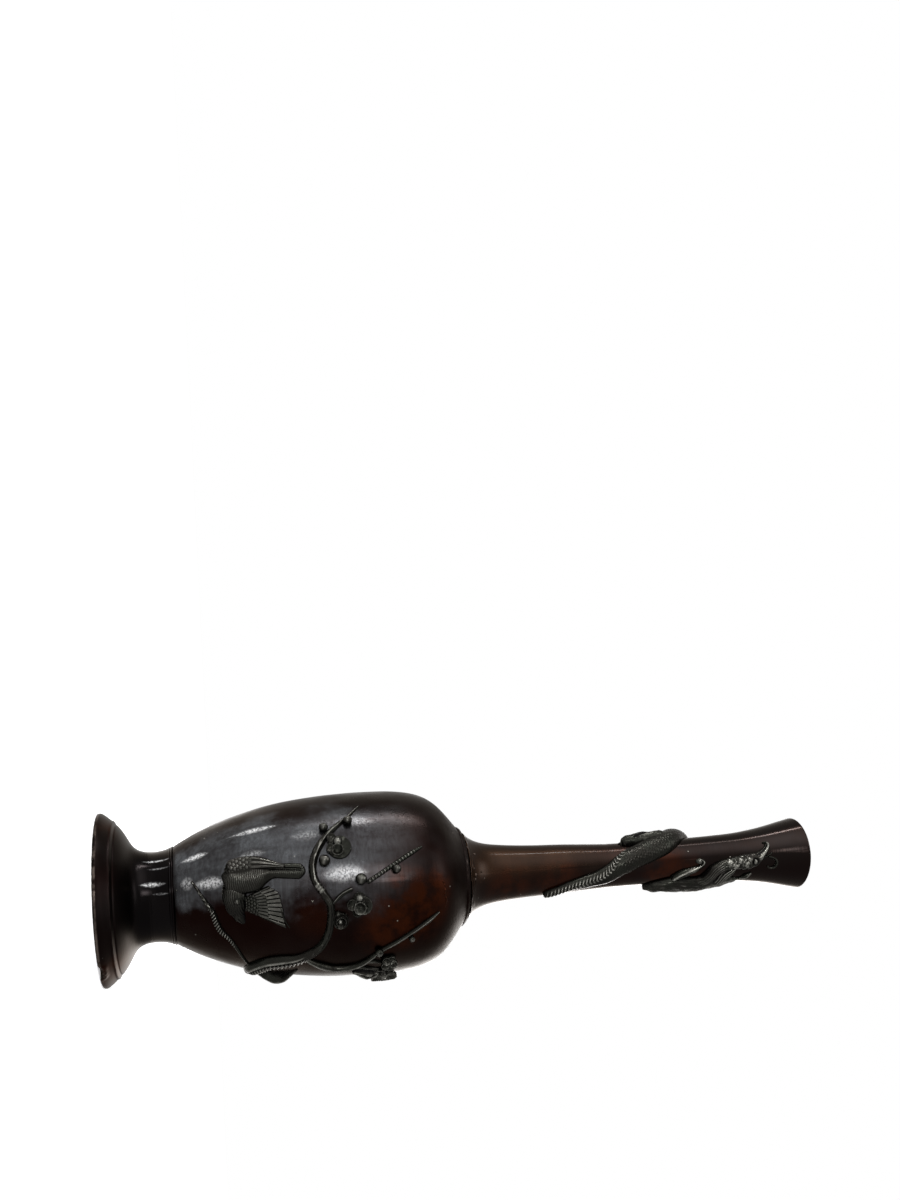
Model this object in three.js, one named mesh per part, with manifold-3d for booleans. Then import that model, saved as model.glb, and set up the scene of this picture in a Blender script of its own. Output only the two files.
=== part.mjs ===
// Bronze bud vase. Foot, body and neck are castings soldered end to end, a plate closes the foot, and a plum
// branch, a bird and a dragon are separate castings soldered to the walls.
// Millimetres, +Z up, standing on z = 0. Degrees round the vase count from the front (-Y) to the right (+X).

import * as THREE from 'three';
import Module from 'manifold-3d';
import { mergeVertices } from 'three/addons/utils/BufferGeometryUtils.js';

// Foot
const footHeight = 23.4;
const footRimRadius = 28.7;
const footEdgeRound = 0.6;
const footBandRadius = 25.8;
const footBandHeight = 4.6;
const footStep = 0.4;
const stemRadius = 15.0;
const stemHeight = 17.0;
const footWall = 3.0;

// Base plate, let into a rebate under the foot
const plateRadius = 23.9;
const plateThickness = 2.0;
const plateRecess = 0.8;

// Body; heights count from its lower edge
const bodyHeight = 97.0;
const bodyFootRadius = 16.4;
const bellyRadius = 31.3;
const bellyHeight = 64.6;
const collarRadius = 17.3;
const collarLip = 1.2;
const bodyWall = 2.4;

// Neck; heights count from its root
const neckHeight = 129.0;
const neckRootRadius = 15.4;
const neckRootEdge = 0.6;
const waistRadius = 7.95;
const waistHeight = 54.0;
const mouthRadius = 13.2;
const mouthEdge = 0.5;
const neckWall = 1.5;

// Joints
const socketRing = 3.0;
const socketDepth = 4.0;
const spigotLength = 5.0;
const spigotWall = 2.0;
const fitGap = 0.3;
const solderGap = 0.3;

// Thickness at a relief's edge, as a share of its rise
const edgeShare = 0.3;

// Plum branch
const trunkWidth = 6.0;
const trunkRise = 3.2;
const branchWidth = 2.6;
const branchRise = 1.9;
const twigWidth = 1.5;
const twigRise = 1.2;
const tipWidth = 0.8;
const tipRise = 0.6;
const spurRise = 3.6;
const blossomRadius = 4.4;
const sideBlossomRadius = 5.4;
const smallBlossomRadius = 3.0;
const blossomRise = 2.6;
const petalDepth = 0.26;
const petals = 5;
const budRadius = 1.9;
const smallBudRadius = 1.3;

// Bird
const birdWidth = 12.4;
const birdRise = 3.8;
const birdTailWidth = 7.0;
const birdTailRise = 1.6;
const birdHeadWidth = 6.6;
const foldedWingWidth = 5.6;
const foldedWingLift = 4.4;
const spreadWingWidth = 12.0;
const spreadWingRise = 1.3;

// Dragon
const dragonWidth = 8.6;
const dragonRise = 4.0;
const dragonTailWidth = 2.8;
const dragonTailRise = 2.0;
const dragonNeckWidth = 5.0;
const dragonHeadWidth = 5.4;
const dragonHeadRise = 3.0;
const dragonSnoutWidth = 3.0;
const legWidth = 3.4;
const legRise = 2.8;
const curlWidth = 1.3;
const curlRise = 1.1;

// Facets
const vesselFacets = 32;
const neckFacets = 24;
const budFacets = 10;
const petalFacets = 4;

const wasm = await Module();
wasm.setup();

const point = (radius, height) => new THREE.Vector2(radius, height);

// Profile curve from one point to another. leave and arrive say how far each handle reaches,
// as [share of the change in radius, share of the change in height].
function profileCurve(from, to, leave, arrive, steps) {
  const radiusChange = to.x - from.x;
  const heightChange = to.y - from.y;
  const firstHandle = point(from.x + leave[0] * radiusChange, from.y + leave[1] * heightChange);
  const lastHandle = point(to.x - arrive[0] * radiusChange, to.y - arrive[1] * heightChange);
  return new THREE.CubicBezierCurve(from, firstHandle, lastHandle, to).getPoints(steps);
}

// The same profile moved inwards by a wall's thickness; every second point is enough inside.
function innerProfile(outer, wall) {
  const inner = [];
  for (let i = 0; i < outer.length; i += 2) {
    const before = outer[Math.max(i - 1, 0)];
    const after = outer[Math.min(i + 1, outer.length - 1)];
    const along = after.clone().sub(before).normalize();
    inner.push(point(outer[i].x - wall * along.y, outer[i].y + wall * along.x));
  }
  return inner;
}

// Solid of revolution about +Z from an outline of [radius, height] points.
function turned(outline, facets) {
  const geometry = new THREE.LatheGeometry(outline, facets);
  geometry.rotateX(Math.PI / 2);
  return facedOutwards(geometry);
}

function signedVolume(geometry) {
  const { array } = geometry.attributes.position;
  const index = geometry.index.array;
  const corner = (i) => new THREE.Vector3().fromArray(array, 3 * index[i]);
  let volume = 0;
  for (let i = 0; i < index.length; i += 3) {
    volume += corner(i).dot(corner(i + 1).cross(corner(i + 2))) / 6;
  }
  return volume;
}

function facedOutwards(geometry) {
  if (signedVolume(geometry) < 0) {
    const index = geometry.index.array;
    for (let i = 0; i < index.length; i += 3) {
      [index[i + 1], index[i + 2]] = [index[i + 2], index[i + 1]];
    }
  }
  geometry.computeVertexNormals();
  return geometry;
}

// Closed skin over a row of rings with the same number of points, closed by a fan at each end.
function skinOver(rings, firstEnd, lastEnd) {
  const count = rings[0].length;
  const corners = [...rings.flat(), firstEnd, lastEnd];
  const positions = corners.flatMap((corner) => corner.toArray());
  const triangles = [];
  for (let ring = 0; ring + 1 < rings.length; ring += 1) {
    for (let i = 0; i < count; i += 1) {
      const a = ring * count + i;
      const b = ring * count + ((i + 1) % count);
      triangles.push(a, b, a + count, b, b + count, a + count);
    }
  }
  const lastRing = (rings.length - 1) * count;
  for (let i = 0; i < count; i += 1) {
    const next = (i + 1) % count;
    triangles.push(corners.length - 2, next, i);
    triangles.push(corners.length - 1, lastRing + i, lastRing + next);
  }
  const geometry = new THREE.BufferGeometry();
  geometry.setAttribute('position', new THREE.Float32BufferAttribute(positions, 3));
  geometry.setIndex(triangles);
  return facedOutwards(geometry);
}

const middleOf = (ring) => ring
  .reduce((sum, corner) => sum.add(corner), new THREE.Vector3())
  .divideScalar(ring.length);

// The outer face of a turned shell, on which ornaments are laid out.
// A spot on it is [percent of the shell's height, degrees round].
class Wall {
  constructor(profile, height, girthRadius) {
    this.profile = profile;
    this.height = height;
    this.girthRadius = girthRadius;
  }

  stretchAt(height) {
    const last = this.profile.length - 2;
    const above = this.profile.findIndex((corner) => corner.y > height);
    const start = above < 0 ? last : THREE.MathUtils.clamp(above - 1, 0, last);
    return [this.profile[start], this.profile[start + 1]];
  }

  radiusAt(height) {
    const [below, above] = this.stretchAt(height);
    return below.x + (above.x - below.x) * (height - below.y) / (above.y - below.y);
  }

  tiltAt(height) {
    const [below, above] = this.stretchAt(height);
    return Math.atan2(above.x - below.x, above.y - below.y);
  }

  // Point a distance up the wall, round it and out from it, counted from a height and an angle.
  place(height, angle, up, round, out) {
    const tilt = this.tiltAt(height);
    const level = height + up * Math.cos(tilt);
    const radius = this.radiusAt(level);
    const turn = angle + round / radius;
    const reach = radius + out * Math.cos(tilt);
    return new THREE.Vector3(reach * Math.sin(turn), -reach * Math.cos(turn), level - out * Math.sin(tilt));
  }

  // Smooth route through spots, as points (girth, height, 0).
  route(spots) {
    const stops = spots.map(([percent, degrees]) => new THREE.Vector3(
      THREE.MathUtils.degToRad(degrees) * this.girthRadius,
      percent / 100 * this.height,
      0,
    ));
    return new THREE.CatmullRomCurve3(stops, false, 'centripetal');
  }
}

// Size at a share of a route, eased between stations of [share, width, rise].
function sizeAt(stations, share) {
  const next = Math.max(1, stations.findIndex((station) => station[0] >= share - 1e-9));
  const [from, to] = [stations[next - 1], stations[next]];
  const ease = THREE.MathUtils.smoothstep(share, from[0], to[0]);
  return [
    THREE.MathUtils.lerp(from[1], to[1], ease),
    THREE.MathUtils.lerp(from[2], to[2], ease),
  ];
}

// Relief carried along a route on a wall: domed on top, seated on the wall with a film of solder below.
// margin makes the same relief larger all round, to cut a neighbour clear of it.
function relief(wall, { spots, stations, steps, strips = 4, crown = 2 }, margin = 0) {
  const route = wall.route(spots);
  const seat = solderGap - margin;
  const rings = [];
  for (let step = 0; step <= steps; step += 1) {
    const share = step / steps;
    const centre = route.getPointAt(share);
    const heading = route.getTangentAt(share);
    const angle = centre.x / wall.girthRadius;
    const sideways = heading.x * wall.radiusAt(centre.y) / wall.girthRadius;
    const upwards = heading.y / Math.cos(wall.tiltAt(centre.y));
    const length = Math.hypot(sideways, upwards);
    const overrun = step === 0 ? -margin : step === steps ? margin : 0;
    const [width, rise] = sizeAt(stations, share);
    const ring = [];
    const addCorner = (offset, out) => {
      const round = (offset * upwards + overrun * sideways) / length;
      const up = (overrun * upwards - offset * sideways) / length;
      ring.push(wall.place(centre.y, angle, up, round, out));
    };
    for (let strip = 0; strip <= strips; strip += 1) {
      const side = 2 * strip / strips - 1;
      const dome = edgeShare + (1 - edgeShare) * (1 - Math.abs(side) ** crown);
      addCorner(side * (width / 2 + margin), solderGap + rise * dome + margin);
    }
    for (let strip = strips; strip >= 0; strip -= 1) {
      const side = 2 * strip / strips - 1;
      addCorner(side * (width / 2 + margin), seat);
    }
    rings.push(ring);
  }
  return skinOver(rings, middleOf(rings[0]), middleOf(rings[rings.length - 1]));
}

// Small round relief on one spot of a wall, from an outline of [radius, distance out] points.
// lobes cuts notches of lobeDepth, as a share of the radius, between that many rounded lobes.
function boss(wall, [percent, degrees], outline, facets, lobes = 0, lobeDepth = 0) {
  const height = percent / 100 * wall.height;
  const angle = THREE.MathUtils.degToRad(degrees);
  const rings = outline.map(([radius, out]) => {
    const ring = [];
    for (let i = 0; i < facets; i += 1) {
      const turn = 2 * Math.PI * i / facets;
      const reach = radius * (1 - lobeDepth * (1 - Math.abs(Math.cos(lobes * turn / 2))));
      ring.push(wall.place(height, angle, reach * Math.sin(turn), reach * Math.cos(turn), solderGap + out));
    }
    return ring;
  });
  const firstEnd = wall.place(height, angle, 0, 0, solderGap + outline[0][1]);
  const lastEnd = wall.place(height, angle, 0, 0, solderGap + outline[outline.length - 1][1]);
  return skinOver(rings, firstEnd, lastEnd);
}

// Round bud on a short neck.
function bud(wall, spot, radius) {
  const neckShare = 0.55;
  const levels = 5;
  const outline = [[radius * neckShare, 0]];
  for (let level = 1; level < levels; level += 1) {
    const turn = THREE.MathUtils.lerp(-Math.acos(neckShare), Math.PI / 2, level / levels);
    outline.push([radius * Math.cos(turn), radius * (Math.sin(turn) + Math.sin(Math.acos(neckShare)))]);
  }
  return boss(wall, spot, outline, budFacets);
}

// Open blossom: a ring of cupped petals round a raised heart.
function blossom(wall, spot, radius) {
  const outline = [
    [0.62 * radius, 0],
    [radius, 0.55 * blossomRise],
    [0.92 * radius, 0.85 * blossomRise],
    [0.5 * radius, 0.5 * blossomRise],
    [0.3 * radius, blossomRise],
  ];
  return boss(wall, spot, outline, petalFacets * petals, petals, petalDepth);
}

function solid(geometry) {
  const bare = geometry.clone();
  bare.deleteAttribute('normal');
  bare.deleteAttribute('uv');
  const merged = mergeVertices(bare);
  return new wasm.Manifold(new wasm.Mesh({
    numProp: 3,
    vertProperties: new Float32Array(merged.attributes.position.array),
    triVerts: new Uint32Array(merged.index.array),
  }));
}

function geometryOf(manifold) {
  const mesh = manifold.getMesh();
  const geometry = new THREE.BufferGeometry();
  geometry.setAttribute('position', new THREE.Float32BufferAttribute(mesh.vertProperties, 3));
  geometry.setIndex(Array.from(mesh.triVerts));
  return facedOutwards(geometry);
}

const joined = (...geometries) => geometryOf(geometries.map(solid).reduce((whole, next) => whole.add(next)));

const clearOf = (geometry, ...neighbours) => geometryOf(
  neighbours.map(solid).reduce((left, next) => left.subtract(next), solid(geometry)),
);

// Finishes
const darkPatina = { color: 0x1c1618, roughness: 0.3, metalness: 0.7 };
const brownPatina = { color: 0x2e2320, roughness: 0.32, metalness: 0.7 };
const reliefPatina = { color: 0x38362f, roughness: 0.42, metalness: 0.7 };

function piece(parent, name, geometry, finish) {
  const mesh = new THREE.Mesh(geometry, new THREE.MeshStandardMaterial(finish));
  mesh.name = name;
  parent.add(mesh);
  return mesh;
}

// Section profiles, each from its lower edge upwards
const socketBelow = bodyFootRadius - socketRing;
const socketAbove = neckRootRadius - socketRing;

const flareStart = point(footBandRadius - footStep, footBandHeight + footStep);
const stemWaist = point(stemRadius, stemHeight);
const stemTop = point(bodyFootRadius, footHeight);
const flare = profileCurve(flareStart, stemWaist, [0.57, 0.47], [0, 0.7], 8);
const stem = profileCurve(stemWaist, stemTop, [0, 0.55], [0.37, 0.28], 4);
const footFace = [...flare, ...stem.slice(1)];

const belly = point(bellyRadius, bellyHeight);
const collar = point(collarRadius, bodyHeight - collarLip);
const lowerBody = profileCurve(point(bodyFootRadius, 0), belly, [0.31, 0.126], [0, 0.6], 12);
const shoulder = profileCurve(belly, collar, [0, 0.72], [0.69, 0.255], 10);
const bodyFace = [...lowerBody, ...shoulder.slice(1)];

const neckRoot = point(neckRootRadius, neckRootEdge);
const waist = point(waistRadius, waistHeight);
const mouth = point(mouthRadius, neckHeight - mouthEdge);
const lowerNeck = profileCurve(neckRoot, waist, [0.84, 0.12], [0.26, 0.777], 12);
const upperNeck = profileCurve(waist, mouth, [0.02, 0.79], [0.73, 0.248], 10);
const neckFace = [...lowerNeck, ...upperNeck.slice(1)];

function footGeometry() {
  const plateSeat = plateRadius + fitGap;
  const ledge = plateRecess + plateThickness + fitGap;
  const spigot = socketBelow - fitGap;
  const bore = spigot - spigotWall;
  const inside = innerProfile(footFace, footWall)
    .filter((corner) => corner.y > ledge && corner.y < footHeight && corner.x < plateSeat)
    .map((corner) => point(Math.max(corner.x, bore), corner.y));
  return turned([
    point(plateSeat, 0),
    point(footRimRadius - footEdgeRound, 0),
    point(footRimRadius, footEdgeRound),
    point(footBandRadius, footBandHeight),
    ...footFace,
    point(spigot, footHeight),
    point(spigot, footHeight + spigotLength),
    point(bore, footHeight + spigotLength),
    ...inside.reverse(),
    point(inside[inside.length - 1].x, ledge),
    point(plateSeat, ledge),
    point(plateSeat, 0),
  ], vesselFacets);
}

function basePlateGeometry() {
  return turned([
    point(0, 0),
    point(plateRadius, 0),
    point(plateRadius, plateThickness),
    point(0, plateThickness),
  ], vesselFacets);
}

function bodyGeometry() {
  const inside = innerProfile(bodyFace, bodyWall)
    .filter((corner) => corner.y > socketDepth && corner.y < bodyHeight - socketDepth);
  return turned([
    ...bodyFace,
    point(collarRadius - collarLip / 2, bodyHeight),
    point(socketAbove, bodyHeight),
    point(socketAbove, bodyHeight - socketDepth),
    ...inside.reverse(),
    point(socketBelow, socketDepth),
    point(socketBelow, 0),
    point(bodyFootRadius, 0),
  ], vesselFacets);
}

function neckGeometry() {
  const spigot = socketAbove - fitGap;
  const bore = spigot - spigotWall;
  const inside = innerProfile(neckFace, neckWall)
    .filter((corner) => corner.y > neckRootEdge && corner.y < neckHeight - mouthEdge);
  const bored = inside.map((corner) => point(
    corner.y < waistHeight ? Math.min(corner.x, bore) : corner.x,
    corner.y,
  ));
  return turned([
    point(neckRootRadius - neckRootEdge, 0),
    ...neckFace,
    point(mouthRadius - mouthEdge, neckHeight),
    point(mouthRadius - neckWall, neckHeight),
    ...bored.reverse(),
    point(bore, -spigotLength),
    point(spigot, -spigotLength),
    point(spigot, 0),
    point(neckRootRadius - neckRootEdge, 0),
  ], neckFacets);
}

const vase = new THREE.Group();
const bodyGroup = new THREE.Group();
const neckGroup = new THREE.Group();
bodyGroup.position.z = footHeight + solderGap;
neckGroup.position.z = bodyHeight + solderGap;
vase.add(bodyGroup);
bodyGroup.add(neckGroup);

// Vessel
piece(vase, 'foot', footGeometry(), darkPatina);
piece(vase, 'base_plate', basePlateGeometry(), darkPatina).position.z = plateRecess;
piece(bodyGroup, 'body', bodyGeometry(), darkPatina);
piece(neckGroup, 'neck', neckGeometry(), brownPatina);

const bodyWallFace = new Wall(bodyFace, bodyHeight, bellyRadius);
const neckWallFace = new Wall(neckFace, neckHeight, waistRadius);

// Plum branch
const mainBranch = {
  spots: [
    [25, 68], [29, 56], [36, 51], [44, 47], [48, 41], [51, 32], [51.5, 22],
    [49.5, 10], [45.5, -3], [44.5, -13], [47, -24], [51, -33], [56, -43], [62, -53],
  ],
  stations: [
    [0, 0.6 * trunkWidth, 0.7 * trunkRise],
    [0.1, trunkWidth, trunkRise],
    [0.27, trunkWidth, trunkRise],
    [0.4, branchWidth, branchRise],
    [0.75, branchWidth, branchRise],
    [1, tipWidth, tipRise],
  ],
  steps: 30,
};
const branchSpur = {
  spots: [[28, 73], [33, 78], [37, 76], [40, 68]],
  stations: [
    [0, tipWidth, tipRise],
    [0.45, twigWidth, spurRise],
    [1, tipWidth, tipRise],
  ],
  steps: 7,
};
const rightBranch = {
  spots: [[46, 56], [51.5, 60.5], [58, 60], [62.5, 56], [64.5, 51]],
  stations: [
    [0, twigWidth, twigRise],
    [0.3, branchWidth, branchRise],
    [1, twigWidth, twigRise],
  ],
  steps: 9,
};
const shootStations = [[0, twigWidth, twigRise], [0.8, twigWidth, twigRise], [1, tipWidth, tipRise]];
const frontShoot = { spots: [[64.5, -1.2], [82, -19.5]], stations: shootStations, steps: 7 };
const rightShoot = { spots: [[69.5, 42], [87, 22.5]], stations: shootStations, steps: 7 };
const blossomTwig = {
  spots: [[53.5, 10.5], [56, 5.5], [59, 4]],
  stations: [[0, tipWidth, tipRise], [0.4, twigWidth, twigRise], [1, twigWidth, twigRise]],
  steps: 4,
};
const lowTwig = {
  spots: [[23.5, 60], [20.5, 46], [17, 35], [14, 25], [12, 13], [9.5, 2], [6, -11]],
  stations: [
    [0, tipWidth, tipRise],
    [0.35, twigWidth, tipRise],
    [0.5, branchWidth, twigRise],
    [1, tipWidth, tipRise],
  ],
  steps: 16,
};
piece(bodyGroup, 'main_branch', relief(bodyWallFace, mainBranch), reliefPatina);
const trimmed = (shape) => clearOf(relief(bodyWallFace, shape), relief(bodyWallFace, mainBranch, fitGap));
piece(bodyGroup, 'branch_spur', trimmed(branchSpur), reliefPatina);
piece(bodyGroup, 'right_branch', trimmed(rightBranch), reliefPatina);
piece(bodyGroup, 'blossom_twig', trimmed(blossomTwig), reliefPatina);
piece(bodyGroup, 'low_twig', trimmed(lowTwig), reliefPatina);
piece(bodyGroup, 'front_shoot', relief(bodyWallFace, frontShoot), reliefPatina);
piece(bodyGroup, 'right_shoot', relief(bodyWallFace, rightShoot), reliefPatina);

const blossoms = {
  left_blossom: [[54.5, -21], blossomRadius],
  front_blossom: [[61.5, 12.5], blossomRadius],
  small_blossom: [[55.5, 21], smallBlossomRadius],
  right_blossom: [[70.5, 57], blossomRadius],
  side_blossom: [[69.5, 78], sideBlossomRadius],
};
for (const [name, [spot, radius]] of Object.entries(blossoms)) {
  piece(bodyGroup, name, blossom(bodyWallFace, spot, radius), reliefPatina);
}

const buds = {
  front_shoot_base_bud: [[61.3, -3.5], budRadius],
  front_shoot_bud: [[73.5, -5.2], budRadius],
  right_shoot_base_bud: [[66.8, 44], budRadius],
  right_shoot_bud: [[78.5, 38.5], smallBudRadius],
  left_low_bud: [[47.5, -38.5], budRadius],
  left_tip_bud: [[60.5, -43], budRadius],
  left_mid_bud: [[48.8, -15], budRadius],
};
for (const [name, [spot, radius]] of Object.entries(buds)) {
  piece(bodyGroup, name, bud(bodyWallFace, spot, radius), reliefPatina);
}

// Bird: tail up, head to the right, near wing folded along the body, far wing spread
const birdBody = {
  spots: [[42.4, -8.3], [37.5, -9.9], [33.3, -10], [28.5, -7.9], [23, -8.4], [16.2, -12.6]],
  stations: [
    [0, 0.55 * birdTailWidth, 0.7 * birdTailRise],
    [0.1, birdTailWidth, birdTailRise],
    [0.38, 0.8 * birdTailWidth, birdTailRise],
    [0.58, birdWidth, birdRise],
    [0.8, birdWidth, birdRise],
    [1, 0.25 * birdWidth, 0.3 * birdRise],
  ],
  steps: 11,
  strips: 6,
};
const birdHead = {
  spots: [[21.5, -2], [19.5, 5], [20, 12], [22.5, 21.5]],
  stations: [
    [0, 1.2 * birdHeadWidth, 0.8 * birdRise],
    [0.6, birdHeadWidth, 0.8 * birdRise],
    [0.85, 0.4 * birdHeadWidth, 0.4 * birdRise],
    [1, tipWidth, tipRise],
  ],
  steps: 8,
};
const foldedWing = {
  spots: [[35, -13.2], [28, -14.2], [21, -13.6], [17, -11.5]],
  stations: [
    [0, 0.3 * foldedWingWidth, 0.5 * foldedWingLift],
    [0.5, foldedWingWidth, foldedWingLift],
    [0.85, foldedWingWidth, foldedWingLift],
    [1, 0.4 * foldedWingWidth, 0.5 * foldedWingLift],
  ],
  steps: 8,
};
const spreadWing = {
  spots: [[26.5, 10], [30, 10.5], [34.5, 11.3]],
  stations: [
    [0, 0.5 * spreadWingWidth, spreadWingRise],
    [1, spreadWingWidth, 0.6 * spreadWingRise],
  ],
  steps: 6,
  strips: 6,
  crown: 4,
};
const bird = [birdBody, birdHead, foldedWing];
const birdGeometry = joined(...bird.map((shape) => relief(bodyWallFace, shape)));
const roundBird = bird.map((shape) => relief(bodyWallFace, shape, fitGap));
piece(bodyGroup, 'bird', clearOf(birdGeometry, relief(bodyWallFace, mainBranch, fitGap)), reliefPatina);
piece(bodyGroup, 'bird_spread_wing', clearOf(relief(bodyWallFace, spreadWing), ...roundBird), reliefPatina);

// Dragon: tail low on the right, once round the back of the neck, head high in front
const dragonCoil = {
  spots: [
    [22.5, 72], [28, 46], [35, 31], [42.5, 9], [50.5, -21], [57.5, -47], [65.5, -85],
    [70, -130], [72, -180], [70.5, -230], [69.5, -275], [70, -305], [73, -333],
  ],
  stations: [
    [0, 0.7 * dragonTailWidth, 0.7 * dragonTailRise],
    [0.06, dragonTailWidth, dragonTailRise],
    [0.38, dragonWidth, dragonRise],
    [0.7, dragonWidth, dragonRise],
    [1, dragonNeckWidth, 0.8 * dragonRise],
  ],
  steps: 42,
  strips: 5,
};
const dragonHead = {
  spots: [[74, 21], [80, 6.5], [85, 4.5], [88, -6], [89, -22]],
  stations: [
    [0, dragonNeckWidth, dragonHeadRise],
    [0.45, dragonHeadWidth, dragonHeadRise],
    [0.65, dragonSnoutWidth, 0.8 * dragonHeadRise],
    [1, tipWidth, tipRise],
  ],
  steps: 12,
};
const dragonHindLeg = {
  spots: [[60, -104], [57.5, -100], [51.5, -94], [46.5, -86], [46, -66]],
  stations: [[0, legWidth, legRise], [0.3, legWidth, legRise], [1, 0.6 * legWidth, 0.6 * legRise]],
  steps: 10,
};
const dragonForeleg = {
  spots: [[60, 40], [63.5, 30], [67, 24], [69.5, 15], [69, 4], [66.5, 6]],
  stations: [
    [0, 0.7 * legWidth, 0.7 * legRise],
    [0.4, 0.8 * legWidth, 0.8 * legRise],
    [1, curlWidth, curlRise],
  ],
  steps: 12,
};
const dragonHangingLeg = {
  spots: [[62, 72], [57, 74], [52.5, 76]],
  stations: [[0, legWidth, legRise], [0.6, 0.8 * legWidth, legRise], [1, 0.5 * legWidth, 0.6 * legRise]],
  steps: 6,
};
const dragonCurl = {
  spots: [[85.5, 21], [88, 26], [90.5, 22], [90.3, 14]],
  stations: [[0, curlWidth, curlRise], [1, tipWidth, tipRise]],
  steps: 7,
};
const dragonFin = {
  spots: [[75.5, 48], [79, 46], [83, 40]],
  stations: [[0, tipWidth, tipRise], [0.5, legWidth, 0.6 * legRise], [1, tipWidth, tipRise]],
  steps: 6,
};
const roundCoil = relief(neckWallFace, dragonCoil, fitGap);
const roundHead = relief(neckWallFace, dragonHead, fitGap);
const besideDragon = (shape) => clearOf(relief(neckWallFace, shape), roundCoil, roundHead);
piece(neckGroup, 'dragon_coil', relief(neckWallFace, dragonCoil), reliefPatina);
piece(neckGroup, 'dragon_head', clearOf(relief(neckWallFace, dragonHead), roundCoil), reliefPatina);
piece(neckGroup, 'dragon_hind_leg', besideDragon(dragonHindLeg), reliefPatina);
piece(neckGroup, 'dragon_foreleg', besideDragon(dragonForeleg), reliefPatina);
piece(neckGroup, 'dragon_hanging_leg', besideDragon(dragonHangingLeg), reliefPatina);
piece(neckGroup, 'dragon_curl', besideDragon(dragonCurl), reliefPatina);
piece(neckGroup, 'dragon_fin', besideDragon(dragonFin), reliefPatina);

export default vase;
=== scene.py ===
"""Bronze bud vase: turned castings with a plum branch, a bird and a dragon in relief, and their patina.

Shapes are worked out in millimetres, +Z up, and become metres as each mesh is made.
Angles round the vase count from the front (-Y) towards the right (+X).
"""

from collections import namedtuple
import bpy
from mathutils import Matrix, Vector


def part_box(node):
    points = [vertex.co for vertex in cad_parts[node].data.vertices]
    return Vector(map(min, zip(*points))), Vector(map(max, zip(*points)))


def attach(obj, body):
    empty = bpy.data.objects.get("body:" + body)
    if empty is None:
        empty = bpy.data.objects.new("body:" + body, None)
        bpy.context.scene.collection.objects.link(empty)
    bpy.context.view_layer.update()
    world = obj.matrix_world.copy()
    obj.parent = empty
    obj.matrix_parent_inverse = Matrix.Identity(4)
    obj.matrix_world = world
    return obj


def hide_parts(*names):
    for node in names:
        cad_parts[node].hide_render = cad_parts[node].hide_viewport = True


bl_info = {
    "name": "Bronze Bud Vase",
    "version": (1, 0, 0),
    "blender": (4, 5, 0),
    "location": "3D View > Sidebar > Bud Vase",
    "description": "Makes a patinated bronze bud vase with a plum branch, a bird and a dragon in relief",
    "category": "Add Mesh",
}

from types import SimpleNamespace

import bpy
import numpy as np
from mathutils import Matrix, Vector

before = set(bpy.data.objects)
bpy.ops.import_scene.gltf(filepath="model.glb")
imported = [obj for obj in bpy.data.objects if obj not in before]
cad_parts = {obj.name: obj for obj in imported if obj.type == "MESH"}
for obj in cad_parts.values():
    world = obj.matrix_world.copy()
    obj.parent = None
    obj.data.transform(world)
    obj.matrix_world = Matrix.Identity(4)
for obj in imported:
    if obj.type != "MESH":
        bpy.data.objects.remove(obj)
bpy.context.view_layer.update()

MM = 0.001

FOOT_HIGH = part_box("foot")[1]
PLATE_LOW, PLATE_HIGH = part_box("base_plate")
BODY_LOW, BODY_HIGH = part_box("body")
NECK_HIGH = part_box("neck")[1]

# Film of solder between two castings, in millimetres.
SOLDER = 0.3


def length(name, description, default):
    """A length that a user may change."""
    return bpy.props.FloatProperty(
        name=name, description=description, default=default, min=0.0, precision=5, unit="LENGTH"
    )


def colour(name, description, default):
    """A colour that a user may change."""
    return bpy.props.FloatVectorProperty(
        name=name, description=description, default=default, size=3, min=0.0, max=1.0, subtype="COLOR"
    )


def power(name, description, default):
    """The power of a lamp that a user may change."""
    return bpy.props.FloatProperty(
        name=name, description=description, default=default, min=0.0, precision=2, unit="POWER"
    )


class VesselSizes(bpy.types.PropertyGroup):
    """Sizes of the foot, its plate, the body and the neck."""

    rim_radius: length("Rim radius", "Radius of the foot's lower edge", FOOT_HIGH.x)
    band_radius: length("Band radius", "Radius at the top of the foot's sloping band", 0.0258)
    band_height: length("Band height", "Height of the foot's sloping band", 0.0046)
    stem_radius: length("Stem radius", "Radius of the stem at its waist", 0.0150)
    stem_height: length("Stem height", "Height of the stem's waist", 0.0170)
    joint_radius: length("Joint radius", "Radius where the stem meets the body", 0.0164)
    foot_wall: length("Foot wall", "Thickness of the foot's wall", 0.0030)
    plate_radius: length("Plate radius", "Radius of the plate under the foot", PLATE_HIGH.x)
    belly_radius: length("Belly radius", "Largest radius of the body", BODY_HIGH.x)
    belly_height: length("Belly height", "Height of the belly above the body's lower edge", 0.0646)
    collar_radius: length("Collar radius", "Radius of the body's collar", 0.0173)
    body_wall: length("Body wall", "Thickness of the body's wall", 0.0024)
    root_radius: length("Neck root radius", "Radius of the neck on the collar", NECK_HIGH.x)
    waist_radius: length("Neck waist radius", "Radius of the neck at its waist", 0.00795)
    waist_height: length("Neck waist height", "Height of the waist above the neck's root", 0.0540)
    mouth_radius: length("Mouth radius", "Radius of the trumpet mouth", 0.0132)
    neck_wall: length("Neck wall", "Thickness of the neck's wall", 0.0015)


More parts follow.
